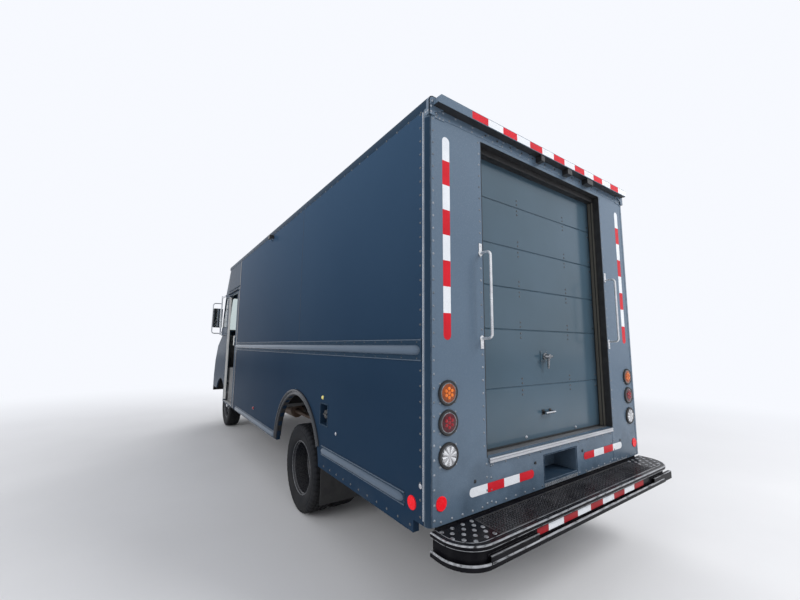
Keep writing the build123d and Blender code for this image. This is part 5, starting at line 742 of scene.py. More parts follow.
side_bits = Shape()
side_dark = Shape()
side_red = Shape()
side_dark.box((SIDE, 0.445, 2.95), (SIDE + 0.06, 0.515, 3.004))
side_bits.box((SIDE, 0.438, 2.945), (SIDE + 0.034, 0.522, 2.951))
side_red.lathe([(0, 0.02), (0.008, 0.02), (0.014, 0.014), (0.015, 0.001)], (SIDE, -0.054, 0.746), X_AXIS, 24)
side_bits.lathe([(0, 0.024), (0.004, 0.024), (0.004, 0.019)], (SIDE, -0.054, 0.746), X_AXIS, 24)
for y, z in ((3.576, 0.838), (2.511, 0.905)):
    side_bits.lathe([(0, 0.014), (0.004, 0.0135), (0.006, 0.01), (0.006, 0.001)], (SIDE, y, z), X_AXIS, 20)
    side_bits.box((SIDE, y - 0.005, z - 0.003), (SIDE + 0.009, y + 0.021, z + 0.003))
for shape in (side_bits, side_dark, side_red):
    shape.mirror()
side_dark.make("roof_side_lamps", BLACK_PLASTIC, slot="grey_plastic", bevel=0.006)
side_red.make("side_markers", RED_LENS, slot="lamp_red")

filler_trim = Shape()
low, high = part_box("fuel_filler")
border(filler_trim, SIDE, SIDE + 0.004, low.y, high.y, low.z, high.z, 0.008, 0.002)
filler_trim.make("filler_frame", PAINT_RAIL, bevel=0.001)
filler_cap = Shape()
y, z = (low.y + high.y) / 2, (low.z + high.z) / 2
filler_cap.lathe([(0, 0.03), (0.004, 0.036), (0.018, 0.036), (0.022, 0.032), (0.023, 0.001)],
                 (SIDE - 0.036, y, z), X_AXIS, 28)
filler_cap.box((SIDE - 0.014, y - 0.03, z - 0.005), (SIDE - 0.006, y + 0.03, z + 0.005))
filler_cap.make("filler_cap", BLACK_PLASTIC, slot="grey_plastic", bevel=0.001)
dome_lamp = Shape()
dome_lamp.lathe([(0, 0.016), (0.004, 0.016), (0.01, 0.011), (0.012, 0.001)], (SIDE, 2.238, 1.151), X_AXIS,
                20)
dome_lamp.make("filler_light", PALE_LENS, slot="lamp_amber")
side_bits.make("side_fittings", BRIGHT, slot="bright_steel")


# Steel wheels
def hole_disc(shape, centre, x_faces, r_in, r_out, holes, circle, hole_radius):
    """A ring between two X planes with round hand holes; each sector runs from its hole to its border."""
    _, cy, cz = centre
    half = math.pi / holes
    corners = [math.atan2(r * math.sin(a), r * math.cos(a) - circle) for r in (r_in, r_out)
               for a in (half, -half)]
    angles = sorted({round(turn, 5) for turn in [2 * math.pi * k / 24 - math.pi
                                                 for k in range(24)] + corners})
    for hole in range(holes):
        aim = 2 * half * (hole + 0.5)
        ring = []
        edge = []
        for turn in angles:
            near, far = hole_radius, 2 * r_out
            for _ in range(22):
                middle = (near + far) / 2
                u = circle + middle * math.cos(turn)
                v = middle * math.sin(turn)
                inside = r_in < math.hypot(u, v) < r_out and abs(math.atan2(v, u)) < half
                near, far = (middle, far) if inside else (near, middle)
            for reach, loop in ((hole_radius, ring), (near, edge)):
                u = circle + reach * math.cos(turn)
                v = reach * math.sin(turn)
                loop.append((cy + u * math.cos(aim) - v * math.sin(aim),
                             cz + u * math.sin(aim) + v * math.cos(aim)))
        loops = [[(x_faces[face], y, z) for y, z in loop] for face,
                 loop in ((0, edge), (0, ring), (1, ring), (1, edge))]
        shape.loft(loops, caps=False)


def nuts(shape, x, axle_y, circle, count=8, size=0.0125, height=0.018):
    """Wheel nuts with washers and stud ends round a hub."""
    for index in range(count):
        turn = 2 * math.pi * (index + 0.5) / count
        centre = (x, axle_y + circle * math.cos(turn), HUB_Z + circle * math.sin(turn))
        shape.lathe([(0, size * 1.25), (0.002, size * 1.25), (0.002, size)], centre, X_AXIS, 20)
        shape.lathe([(0.002, size), (height * 0.9, size), (height, size * 0.8)], centre, X_AXIS, 6)
        shape.lathe([(height, size * 0.55), (height + 0.008, size * 0.5)], centre, X_AXIS, 12)


def wheel(shape, middle, disc_x, dish, axle_y, hub_reach):
    """Barrel, dished wall and holed disc of one steel wheel on the left."""
    centre = (0, axle_y, HUB_Z)
    barrel = [(-0.0925, 0.2474), (-0.093, 0.244), (-0.089, 0.2405), (-0.076, 0.2385), (-0.07, 0.232),
              (-0.03, 0.229)]
    barrel += [(-along, radius) for along, radius in reversed(barrel)]
    shape.lathe([(middle + along, radius) for along, radius in barrel], centre, sides=64, closed=True)
    wall = [(disc_x, 0.192), (disc_x + dish * 0.1, 0.205), (disc_x + dish * 0.55, 0.222),
            (disc_x + dish, 0.232)]
    back = [(along + 0.012, radius) for along, radius in reversed(wall)]
    shape.lathe(wall + back, centre, sides=64, closed=True)
    hole_disc(shape, centre, (disc_x, disc_x + 0.012), 0.136, 0.193, 8, 0.168, 0.0225)
    face = [(disc_x, hub_reach), (disc_x, 0.138), (disc_x + 0.012, 0.138), (disc_x + 0.012, hub_reach)]
    shape.lathe(face, centre, sides=64, closed=True)


FRONT_HUB = (0, FRONT_AXLE_Y, HUB_Z)
REAR_HUB = (0, REAR_AXLE_Y, HUB_Z)
front_rim = Shape()
wheel(front_rim, 0.94, 0.97, -0.02, FRONT_AXLE_Y, 0.05)
front_rim.lathe([(0.8965, 0.035), (0.8965, 0.08), (0.91, 0.088), (0.97, 0.088)], FRONT_HUB, sides=40)
rear_rim = Shape()
wheel(rear_rim, 1.055, 0.927, 0.055, REAR_AXLE_Y, 0.07)
wheel(rear_rim, 0.799, 0.915, -0.055, REAR_AXLE_Y, 0.07)
rear_rim.lathe([(0.857, 0.035), (0.857, 0.08), (0.865, 0.088), (0.915, 0.088)], REAR_HUB, sides=40)
front_hub = Shape()
front_hub.lathe([(0.982, 0.06), (0.988, 0.058), (1.03, 0.054), (1.038, 0.047), (1.041, 0.03),
                 (1.0415, 0.001)], FRONT_HUB)
nuts(front_hub, 0.982, FRONT_AXLE_Y, 0.0825)
rear_hub = Shape()
rear_hub.lathe([(0.939, 0.082), (0.96, 0.08), (1.02, 0.078), (1.028, 0.08), (1.0335, 0.078), (1.034, 0.045),
                (1.031, 0.04), (1.031, 0.001)], REAR_HUB)
nuts(rear_hub, 0.939, REAR_AXLE_Y, 0.106)
for turn in turns(8):
    spot = (1.0335, REAR_AXLE_Y + 0.062 * math.cos(turn), HUB_Z + 0.062 * math.sin(turn))
    rear_hub.lathe([(0, 0.0085), (0.006, 0.0085), (0.0065, 0.006)], spot, X_AXIS, 6)
# Thin bright steel rings round the rim lips and the disc edges are painted highlights.
front_highlight_rings = Shape()
rear_highlight_rings = Shape()
for shape, hub, rings in ((front_highlight_rings, FRONT_HUB, ((1.0332, 0.2432), (0.983, 0.198))),
                          (rear_highlight_rings, REAR_HUB, ((1.1482, 0.2432), (0.9905, 0.225), (0.94, 0.19)))):
    for along, radius in rings:
        profile = [(along + 0.0022 * math.cos(t), radius + 0.0022 * math.sin(t)) for t in turns(8)]
        shape.lathe(profile, hub, sides=72, closed=True)
for name, shape, material, body, slot, node in (
    ("highlight_rings_front", front_highlight_rings, LATCH_STEEL, "front_wheel", "bright_steel", None),
    ("highlight_rings_rear", rear_highlight_rings, LATCH_STEEL, "rear_wheels", "bright_steel", None),
    ("rim_front", front_rim, WHEEL_PAINT, "front_wheel", "chassis_black", "front_rim"),
    ("hub_front", front_hub, BRIGHT, "front_wheel", "bright_steel", None),
    ("rims_rear", rear_rim, WHEEL_PAINT, "rear_wheels", "chassis_black", "rear_rims"),
    ("hub_rear", rear_hub, CAST, "rear_wheels", "cast_iron", None),
):
    for side, half in (("left", shape), ("right", shape.mirrored())):
        piece = half.make(f"{name}_{side}", material, f"{body}_{side}", slot, smooth=35)
        if node:
            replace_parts(piece, f"{node}_{side}")

# Rear step bumper with its grating, buttons and tape
STEP_HALF = 1.215
CORNER = 0.19
WALL_SIDE = WALL_Y + 0.0005


def step_path(inset, steps=14):
    """Plan of the bumper's edge from its left end round to its right end, moved inward by inset."""
    half = STEP_HALF - inset
    rear = STEP_REAR - inset
    turn = CORNER - inset
    left = [(half, WALL_SIDE)]
    for step in range(steps + 1):
        angle = math.pi / 2 * step / steps
        left.append((half - turn + turn * math.cos(angle), rear - turn + turn * math.sin(angle)))
    return left + [(-x, y) for x, y in reversed(left)]


def sweep_step(shape, section):
    """Carry a closed (inset, height) section along the bumper's edge."""
    rings = [[(x, y, z) for x, y in step_path(inset)] for inset, z in section]
    shape.loft([[ring[index] for ring in rings] for index in range(len(rings[0]))])


step_body = Shape()
step_wear_and_highlight = Shape()
for section in (
    [(0.024, 0.6318), (0.011, 0.6322), (0.0075, 0.633), (0.004, 0.632), (0.001, 0.6285), (0.0, 0.624),
     (0.0, 0.6135), (0.0015, 0.6095), (0.005, 0.6066), (0.01, 0.606), (0.024, 0.6062)],
    [(0.02, 0.52), (0.02, 0.6062), (0.026, 0.6062), (0.026, 0.52)],
    [(0.0, 0.5165), (0.002, 0.514), (0.026, 0.514), (0.026, 0.52), (0.006, 0.52), (0.006, 0.5368),
     (0.0, 0.5368)],
):
    sweep_step(step_body, section)
# Light strips along the nosing, the deck and the lower lip: partly wear, partly painted highlight.
for section in (
    [(0.009, 0.6326), (0.007, 0.6338), (0.003, 0.6325), (0.0004, 0.629), (0.0004, 0.627), (0.002, 0.63)],
    [(0.0335, 0.6318), (0.0335, 0.633), (0.0375, 0.6333), (0.0375, 0.6318)],
    [(0.0004, 0.612), (0.0, 0.611), (0.0015, 0.6085), (0.003, 0.608)],
    [(0.0, 0.537), (0.0, 0.5465), (0.001, 0.548), (0.005, 0.548), (0.006, 0.5465), (0.006, 0.537)],
):
    sweep_step(step_wear_and_highlight, section)
TREAD_X = 0.92
TREAD_Y = (3.673, 3.865)
DECK_REAR = STEP_REAR - 0.023
deck_end = Shape()
outline = [(x, y) for x, y in step_path(0.023) if x > TREAD_X] + [(TREAD_X, DECK_REAR), (TREAD_X, WALL_SIDE)]
deck_end.plate([(x, y, 0.626) for x, y in outline], (0, 0, 0.006))
deck_end.mirror()
step_body.add(deck_end.points, deck_end.faces)
step_body.box((-TREAD_X, WALL_SIDE, 0.626), (TREAD_X, TREAD_Y[0], 0.632))
step_body.box((-TREAD_X, TREAD_Y[1], 0.626), (TREAD_X, DECK_REAR, 0.632))
step_body.box((-1.15, 3.606, 0.56), (1.15, 3.64, 0.6445))
for x_low, x_high in ((0.37, 0.43), (-0.43, -0.37)):
    step_body.box((x_low, 3.585, 0.524), (x_high, STEP_REAR - 0.024, 0.601))
    step_body.box((x_low, 3.585, 0.524), (x_high, 3.601, 0.818))
for x_low, x_high in ((0.65, 1.04), (-1.17, -0.84)):
    step_body.box((x_low, 3.88, 0.571), (x_high, 3.9046, 0.577))
    step_body.box((x_low, 3.899, 0.52), (x_high, 3.9046, 0.571))
    step_wear_and_highlight.box((x_low, 3.8985, 0.5745), (x_high, 3.905, 0.5775))
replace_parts(step_body.make("step_bumper", STEP_BLACK, slot="black_metal", bevel=0.0012), "rear_step")
step_wear_and_highlight.make("step_edges", EDGE_WEAR_AND_HIGHLIGHT, slot="black_metal", smooth=60)

BARS = 84
TEETH = 9
BAR_HALF = 0.0035
grate = Shape()
grate_teeth = Shape()
pitch = 2 * (TREAD_X - 0.012) / BARS
tooth_run = (TREAD_Y[1] - TREAD_Y[0] - 0.016) / TEETH
for index in range(BARS + 1):
    x = -TREAD_X + 0.012 + pitch * index
    grate.box((x - BAR_HALF, TREAD_Y[0] + 0.006, 0.613), (x + BAR_HALF, TREAD_Y[1] - 0.006, 0.627))
    for tooth in range(TEETH):
        y = TREAD_Y[0] + 0.008 + tooth_run * (tooth + (0.25 if index % 2 else 0.0))
        outline = [(x - BAR_HALF, y + tooth_run * share, z)
                   for share, z in ((0, 0.627), (0.75, 0.627), (0.62, 0.6335), (0.13, 0.6335))]
        grate_teeth.plate(outline, (2 * BAR_HALF, 0, 0))
for y in (3.7165, 3.767, 3.8185):
    grate.box((-TREAD_X, y - 0.005, 0.611), (TREAD_X, y + 0.005, 0.627))
for y in (TREAD_Y[0], TREAD_Y[1] - 0.006):
    grate.box((-TREAD_X, y, 0.611), (TREAD_X, y + 0.006, 0.6325))
for x in (-TREAD_X, TREAD_X - 0.006):
    grate.box((x, TREAD_Y[0], 0.611), (x + 0.006, TREAD_Y[1], 0.6325))
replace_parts(grate.make("step_grating", BLACK, slot="black_metal", smooth=20), "step_tread")
# The teeth's light edges: partly wear, partly painted highlight.
grate_teeth.make("grating_teeth", TREAD_WEAR_AND_HIGHLIGHT, slot="black_metal", smooth=20)

buttons = Shape()
# columns: row y, then each button's x
for y, row in ((3.681, (1.165, 1.09, 1.014, 0.945)), (3.721, (1.128, 1.046, 0.97)),
               (3.76, (1.163, 1.084, 1.007, 0.942)), (3.801, (1.123, 1.043, 0.966)),
               (3.842, (1.082, 1.006, 0.943))):
    for x in row:
        button = [(0, 0.0125), (0.002, 0.0115), (0.0035, 0.008), (0.0032, 0.005), (0.0022, 0.001)]
        buttons.lathe(button, (x, y, 0.632), Z_AXIS, 16)
buttons.mirror()
buttons.make("step_buttons", EDGE_WEAR_AND_HIGHLIGHT, slot="bright_steel")
bumper_tapes = [Shape(), Shape()]
x = 0.646
for index, width in enumerate([0.108] + [0.1535] * 7 + [0.153]):
    bumper_tapes[(index + 1) % 2].box((x - width, STEP_REAR - 0.02, 0.556), (x, STEP_REAR - 0.0193, 0.592))
    x -= width
bumper_tapes[0].make("bumper_tape_white", TAPE_WHITE, slot="lamp_clear")
bumper_tapes[1].make("bumper_tape_red", TAPE_DIM_RED, slot="lamp_red")

# Rear door latch, pull bar, pocket edge, corner caps and header details
latch = Shape()
latch.lathe([(0.004, 0.026), (0.012, 0.025), (0.016, 0.017), (0.034, 0.0155), (0.038, 0.018), (0.05, 0.017),
             (0.051, 0.001)], (0.0, DOOR_Y, 1.52), Y_AXIS, 32)
lever = [(0.058, 0.043), (0.052, 0.044), (0.0, 0.044), (-0.034, 0.044), (-0.038, 0.044)]
latch.tube([(x, DOOR_Y + out, 1.52) for x, out in lever], [0.004, 0.0085, 0.0095, 0.0085, 0.004], 16)
grip = [(0.004, 0.04, 1.515), (0.004, 0.038, 1.48), (0.002, 0.034, 1.44), (0.002, 0.033, 1.428)]
latch.tube([(x, DOOR_Y + out, z) for x, out, z in grip], [0.01, 0.009, 0.0075, 0.004], 14)
for x in (-0.022, 0.044):
    for z in (1.486, 1.554):
        latch.dome((x, DOOR_Y + 0.004, z), Y_AXIS, 0.0045, 0.0025)
latch.make("door_latch", LATCH_STEEL, slot="bright_steel", bevel=0.0008)
latch_plate = Shape()
latch_plate.box((-0.03, DOOR_Y, 1.478), (0.052, DOOR_Y + 0.004, 1.562))
latch_plate.make("latch_plate", PAINT_DOOR, bevel=0.001)
pull = Shape()
pull.tube([(0.06, DOOR_Y + 0.034, 1.112), (-0.06, DOOR_Y + 0.034, 1.112)], 0.0075, 16)
pull.make("pull_bar", BRIGHT, slot="bright_steel")
pull_base = Shape()
for x in (-0.058, 0.03):
    pull_base.box((x, DOOR_Y, 1.093), (x + 0.028, DOOR_Y + 0.004, 1.131))
    pull_base.box((x + 0.008, DOOR_Y, 1.1), (x + 0.018, DOOR_Y + 0.036, 1.12))
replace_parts(pull_base.make("pull_brackets", BLACK, slot="black_metal", bevel=0.001), "door_hardware")
pocket_edge = Shape()
for z in (0.677, 0.853):
    pocket_edge.box((-0.207, WALL_Y, z), (0.207, WALL_Y + 0.0025, z + 0.006))
for x in (-0.2075, 0.2015):
    pocket_edge.box((x, WALL_Y, 0.677), (x + 0.006, WALL_Y + 0.0025, 0.859))
pocket_edge.box((-0.195, WALL_Y - 0.183, 0.6862), (0.195, WALL_Y - 0.002, 0.6872))
pocket_edge.make("pocket_edge", PAINT_RAIL, bevel=0.0006)
kick_strip = Shape()
kick_strip.box((-0.205, WALL_Y + 0.0002, 0.648), (0.205, WALL_Y + 0.0022, 0.67))
kick_strip.box((-0.98, PLATE_Y - 0.001, 0.6465), (-0.33, PLATE_Y + 0.0008, 0.6545))
kick_strip.make("sill_edge", BRIGHT_TRIM, slot="bright_steel")

caps = Shape()
cap_rivets = Shape()
caps.box((1.09, PLATE_Y, 2.962), (1.172, PLATE_Y + 0.0015, 3.028))
outline = [(1.2215, 2.968), (1.2215, 3.062), (1.214, 3.08), (1.196, 3.089), (1.095, 3.089), (1.095, 3.084),
           (1.193, 3.084), (1.209, 3.076), (1.2165, 3.06), (1.2165, 2.968)]
caps.plate([(x, 3.658, z) for x, z in outline], (0, -0.046, 0))
face = outline[:5] + [(1.095, 3.032), (1.1785, 2.99), (1.1785, 2.968)]
caps.plate([(x, 3.658, z) for x, z in face], (0, -0.006, 0))
caps.mirror()
for side in (1, -1):
    for x, z in ((1.102, 2.972), (1.131, 2.972), (1.16, 2.972), (1.16, 2.995), (1.16, 3.018), (1.131, 3.018),
                 (1.102, 3.018)):
        cap_rivets.dome((side * x, PLATE_Y + 0.0015, z), Y_AXIS, 0.0062, 0.003)
    for x, z in ((1.205, 2.985), (1.205, 3.02), (1.196, 3.055), (1.16, 3.07), (1.12, 3.072)):
        cap_rivets.dome((side * x, 3.658, z), Y_AXIS, 0.0075, 0.004)
    for y in (3.625, 3.645):
        cap_rivets.dome((side * 1.2215, y, 2.99), X_AXIS * side, 0.0075, 0.0035)
caps.make("corner_caps", PAINT_REAR_SUNLIT, bevel=0.0006)
cap_rivets.make("corner_cap_rivets", BRIGHT_TRIM, slot="bright_steel")
screws = Shape()
for x in (0.72, 0.6, 0.46, 0.33, 0.2, 0.04, -0.09, -0.34, -0.46, -0.66, -0.76):
    screws.dome((x, PLATE_Y, 3.006), Y_AXIS, 0.008, 0.004, 8)
screws.make("header_screws", RUBBER, slot="rubber")
guides = Shape()
guides.box((0.749, DOOR_Y + 0.012, 0.93), (0.757, DOOR_Y + 0.03, 2.9))
guides.box((0.752, DOOR_Y + 0.04, 0.93), (0.757, DOOR_Y + 0.052, 2.9))
guides.mirror()
guides.make("door_guides", OLD_TRACK, slot="aluminium", bevel=0.0006)

# Mirrors, cab doors, glass seals and wipers
MIRROR_Y = -2.955
POST_X = 1.242
HEAD_X = 1.3
mirror_frames = Shape()
mirror_heads = Shape()
mirror_glass = Shape()
corners = [(POST_X, 1.815), (1.3985, 1.815), (1.3985, 2.42), (POST_X, 2.42)]
mirror_frames.tube(bent([(x, MIRROR_Y, z) for x, z in corners], 0.045, 6), 0.0105, 14)
mirror_frames.tube([(POST_X, MIRROR_Y, 1.786), (POST_X, MIRROR_Y, 2.574)], 0.0145, 16)
for z, back in ((1.835, 0.14), (2.545, 0.38)):
    mirror_frames.box((SIDE, MIRROR_Y - 0.0075, z - 0.014), (POST_X, MIRROR_Y + back, z + 0.014))
    for y in (back - 0.025, back - 0.065):
        mirror_frames.dome((POST_X, MIRROR_Y + y, z), X_AXIS, 0.007, 0.005, 10)
mirror_heads.box((HEAD_X - 0.084, -2.998, 1.932), (HEAD_X + 0.084, -2.9445, 2.318))
for z_low, z_high in ((2.055, 2.308), (1.944, 2.045)):
    mirror_glass.box((HEAD_X - 0.074, -2.9446, z_low), (HEAD_X + 0.074, -2.9425, z_high))
for shape in (mirror_frames, mirror_heads, mirror_glass):
    shape.mirror()
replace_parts(mirror_frames.make("mirror_frames", BRIGHT, slot="bright_steel"), "mirrors")
mirror_heads.make("mirror_heads", BLACK_PLASTIC, slot="grey_plastic", bevel=0.014)
mirror_glass.make("mirror_panes", MIRROR, slot="glass")

WELL_Y = -2.335
entry = Shape()
entry.box((0.853, WELL_Y, 0.58), (1.128, WELL_Y + 0.0015, 1.16))
entry.box((0.852, WELL_Y + 0.002, 0.575), (1.128, -1.557, 0.5766))
for index in range(9):
    x = 0.875 + 0.028 * index
    entry.box((x, WELL_Y + 0.05, 0.5766), (x + 0.006, -1.6, 0.5786))
entry.box((1.1795, -2.29, 0.5752), (1.2215, -1.555, 0.5775))
entry.mirror()
entry.make("entry_plates", KICK_METAL, slot="aluminium")
jambs = Shape()
jambs.box((1.1815, -2.2898, 0.6), (1.2205, -2.2878, 2.485))
jambs.mirror()
jambs.make("doorway_strips", WHITE_PLASTIC, slot="grey_plastic")
# columns: door, place along the side from where the left door rests, whether it stands on the right
for body, shift, right in (("door_left", 0.0, False), ("door_right", -0.685, True)):
    hook = Shape()
    y0 = -1.5985 + shift
    for x_low, x_high, z_low, z_high in ((1.223, 1.238, 1.578, 1.742), (1.1742, 1.223, 1.715, 1.742),
                                         (1.1742, 1.223, 1.64, 1.656)):
        hook.box((x_low, y0, z_low), (x_high, y0 + 0.033, z_high))
    seal = Shape()
    y_low = -1.615 + shift
    y_high = -0.84 + shift
    for y in (y_low - 0.001, y_high - 0.007):
        seal.box((1.1455, y, 0.595), (1.1725, y + 0.008, 2.515))
    border(seal, 1.1425, 1.176, y_low + 0.11, y_high - 0.11, 1.55, 2.41, 0.012, 0.003)
    if right:
        hook = hook.mirrored()
        seal = seal.mirrored()
    hook.make(f"{body}_hook", WHITE_PLASTIC, body, "grey_plastic", bevel=0.0055)
    seal.make(f"{body}_seals", RUBBER, body, "rubber", bevel=0.002)

SCREEN_TOP = Vector((0, -2.755, 2.6))
SCREEN_RUN = Vector((0, -0.3, -0.83))


def screen_spot(share, inset):
    """A point down the windscreen's slope, moved forward by inset."""
    return SCREEN_TOP.y + SCREEN_RUN.y * share - inset, SCREEN_TOP.z + SCREEN_RUN.z * share


def on_screen(x, z, inset):
    """A point in front of the windscreen at a height."""
    return x, screen_spot((z - SCREEN_TOP.z) / SCREEN_RUN.z, inset)[0], z


gaskets = Shape()
for x0, x1 in ((0.025, 1.08), (-1.08, -0.025)):
    high = screen_spot(0.08, 0.002)
    low = screen_spot(0.86, 0.002)
    middle = ((x0 + x1) / 2, *high)
    gaskets.tube(bent([middle, (x1, *high), (x1, *low), (x0, *low), (x0, *high), middle], 0.04, 6), 0.011,
                 10)
gaskets.make("windscreen_gaskets", RUBBER, slot="rubber")
wipers = Shape()
for x in (0.62, -0.4):
    y1, z1 = screen_spot(0.9, 0.018)
    y0, z0 = screen_spot(0.55, 0.022)
    tip = x - 0.32
    wipers.lathe([(-0.016, 0.014), (0.004, 0.014), (0.01, 0.009)], (x, y1, z1), -Y_AXIS, 18)
    elbow = ((x + tip) / 2, (y0 + y1) / 2 - 0.012, (z0 + z1) / 2)
    wipers.tube([(x, y1 - 0.006, z1), elbow, (tip, y0 - 0.004, z0)], 0.005, 8)
    wipers.tube([on_screen(tip - 0.2, z0 - 0.12, 0.012), on_screen(tip + 0.14, z0 + 0.1, 0.012)], 0.006, 6)
wipers.make("wipers", BLACK, slot="black_metal")

# Nose: headlamps, hood latches, marker lamps, bumper bolts
LAMP_FACE = (0.79, -3.793, 1.06)
bezels = Shape()
bezels.box((0.6655, -3.793, 0.9405), (0.9145, -3.733, 1.1795))
bezels.lathe([(0, 0.104), (0.006, 0.103), (0.009, 0.098), (0.006, 0.093)], LAMP_FACE, -Y_AXIS, 56)
bowls = Shape()
bowls.lathe([(0.001, 0.0925), (0.002, 0.06), (0.0024, 0.001)], LAMP_FACE, -Y_AXIS)
lenses = Shape()
lenses.lathe([(0.003, 0.0915), (0.008, 0.084), (0.0105, 0.06), (0.0118, 0.03), (0.0119, 0.001)],
             LAMP_FACE, -Y_AXIS)
signals = Shape()
signals.box((0.93, -3.787, 1.005), (1.03, -3.762, 1.115))
for shape in (bezels, bowls, lenses, signals):
    shape.mirror()
catches = Shape()
for side in (1, -1):
    x = side * 0.43
    catches.box((x - 0.018, -3.712, 1.215), (x + 0.018, -3.704, 1.275))
    catches.lathe([(0, 0.014), (0.006, 0.013), (0.008, 0.001)], (x, -3.712, 1.215), -Y_AXIS, 18)
    for bolt_x in (0.375, 0.415):
        for z in (0.68, 0.8):
            catches.dome((side * bolt_x, -3.905, z), Y_AXIS, 0.009, 0.0, 8)
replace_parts(bezels.make("headlamp_bezels", BLACK_PLASTIC, slot="grey_plastic", bevel=0.003), "headlamps")
bowls.make("headlamp_bowls", MIRROR, slot="bright_steel")
lenses.make("headlamp_lenses", CLEAR_LENS, slot="lamp_clear")
signals.make("front_signals", AMBER_LENS, slot="lamp_amber", bevel=0.004)
catches.make("hood_catches", BLACK, slot="black_metal", bevel=0.001)

clearance = Shape()
clearance_bases = Shape()
run = Vector((0, -0.35, -0.49))
outward = Vector((0, run.z, -run.y)).normalized()
brow = Vector((0, -2.405, 3.09))
for x in (-1.0, -0.16, 0.0, 0.16, 1.0):
    for shape, half, shrink, thick in ((clearance_bases, 0.0495, 0.0, 0.006),
                                       (clearance, 0.044, 0.005, 0.0178)):
        high = brow + run * 0.12 + run.normalized() * shrink
        low = brow + run * 0.22 - run.normalized() * shrink
        left, right = X_AXIS * (x - half), X_AXIS * (x + half)
        shape.plate([high + left, high + right, low + right, low + left], outward * thick)
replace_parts(clearance_bases.make("clearance_bases", BLACK_PLASTIC, slot="grey_plastic", bevel=0.001),
            "marker_lamps")
clearance.make("clearance_lamps", AMBER_LENS, slot="lamp_amber", bevel=0.005)

# Cab interior: steering wheel, seat, pedals, gauges; posts in the load space
TILT = math.radians(30)
COLUMN = Vector((0, math.sin(TILT), math.cos(TILT)))
HUB = Vector((0.56, -2.305, 1.64))
ring_side = COLUMN.cross(X_AXIS)
wheel_ring = Shape()
loops = []
for turn in turns(72):
    spoke = X_AXIS * math.cos(turn) + ring_side * math.sin(turn)
    loops.append([HUB + spoke * 0.225 + (spoke * math.cos(t) + COLUMN * math.sin(t)) * 0.0135
                  for t in turns(12)])
wheel_ring.loft(loops, closed=True)
for angle in (90, 210, 330):
    turn = math.radians(angle)
    spoke = X_AXIS * math.cos(turn) - ring_side * math.sin(turn)
    wheel_ring.tube([HUB + spoke * 0.02 - COLUMN * 0.01, HUB + spoke * 0.12 - COLUMN * 0.009,
                     HUB + spoke * 0.218], [0.015, 0.011, 0.009], 12)
wheel_ring.lathe([(-0.0595, 0.04), (-0.02, 0.044), (0.0, 0.043), (0.006, 0.036), (0.008, 0.001)], HUB,
                 COLUMN, 32)
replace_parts(wheel_ring.make("steering_rim", BLACK_PLASTIC, "steering_wheel", "grey_plastic"),
            "steering_wheel")

pedals = Shape()
for x, wide in ((0.5, 0.028), (0.62, 0.028), (0.74, 0.022)):
    pedals.tube([(x, -2.7, 1.02), (x, -2.62, 0.985), (x, -2.585, 0.975)], 0.008, 8)
    pedals.box((x - wide, -2.59, 0.945), (x + wide, -2.578, 1.01))
pedals.make("pedals", BLACK, slot="black_metal", bevel=0.002)
gauges = Shape()
for x, radius in ((0.47, 0.042), (0.56, 0.042), (0.645, 0.03), (0.41, 0.026)):
    bezel = [(0, radius + 0.005), (0.006, radius + 0.005), (0.008, radius), (0.002, radius - 0.003),
             (0.002, 0.001)]
    gauges.lathe(bezel, (x, -2.5255, 1.575), Y_AXIS, 32)
gauges.make("gauges", BLACK_PLASTIC, slot="grey_plastic")
posts = Shape()
for index in range(8):
    y = -0.62 + 0.6 * index
    base = 1.13 if 1.0 < y < 2.19 else 0.9375
    posts.box((1.152, y, base), (1.18, y + 0.04, 3.045))
posts.mirror()
for index in range(9):
    y = -1.2 + 0.56 * index
    posts.box((-1.15, y, 3.022), (1.15, y + 0.035, 3.0495))
posts.make("body_posts", ALUMINIUM, slot="aluminium", bevel=0.002)


def settle(piece):
    """Turn the modifiers into the mesh itself."""
    graph = bpy.context.evaluated_depsgraph_get()
    done = bpy.data.meshes.new_from_object(piece.evaluated_get(graph))
    piece.modifiers.clear()
    piece.data = done


def inflate(piece, pressure, cap, frames=20):
    """Let cloth pressure swell a mesh, each point by no more than cap."""
    before = [vertex.co.copy() for vertex in piece.data.vertices]
    cloth = piece.modifiers.new("cloth", "CLOTH")
    cloth.settings.use_pressure = True
    cloth.settings.uniform_pressure_force = pressure
    cloth.settings.effector_weights.gravity = 0
    cloth.settings.quality = 4
    cloth.point_cache.frame_start = 1
    cloth.point_cache.frame_end = frames
    scene = bpy.context.scene
    for number in range(1, frames + 1):
        scene.frame_set(number)
    settle(piece)
    scene.frame_set(1)
    for vertex, old in zip(piece.data.vertices, before):
        move = vertex.co - old
        if move.length > cap:
            vertex.co = old + move.normalized() * cap


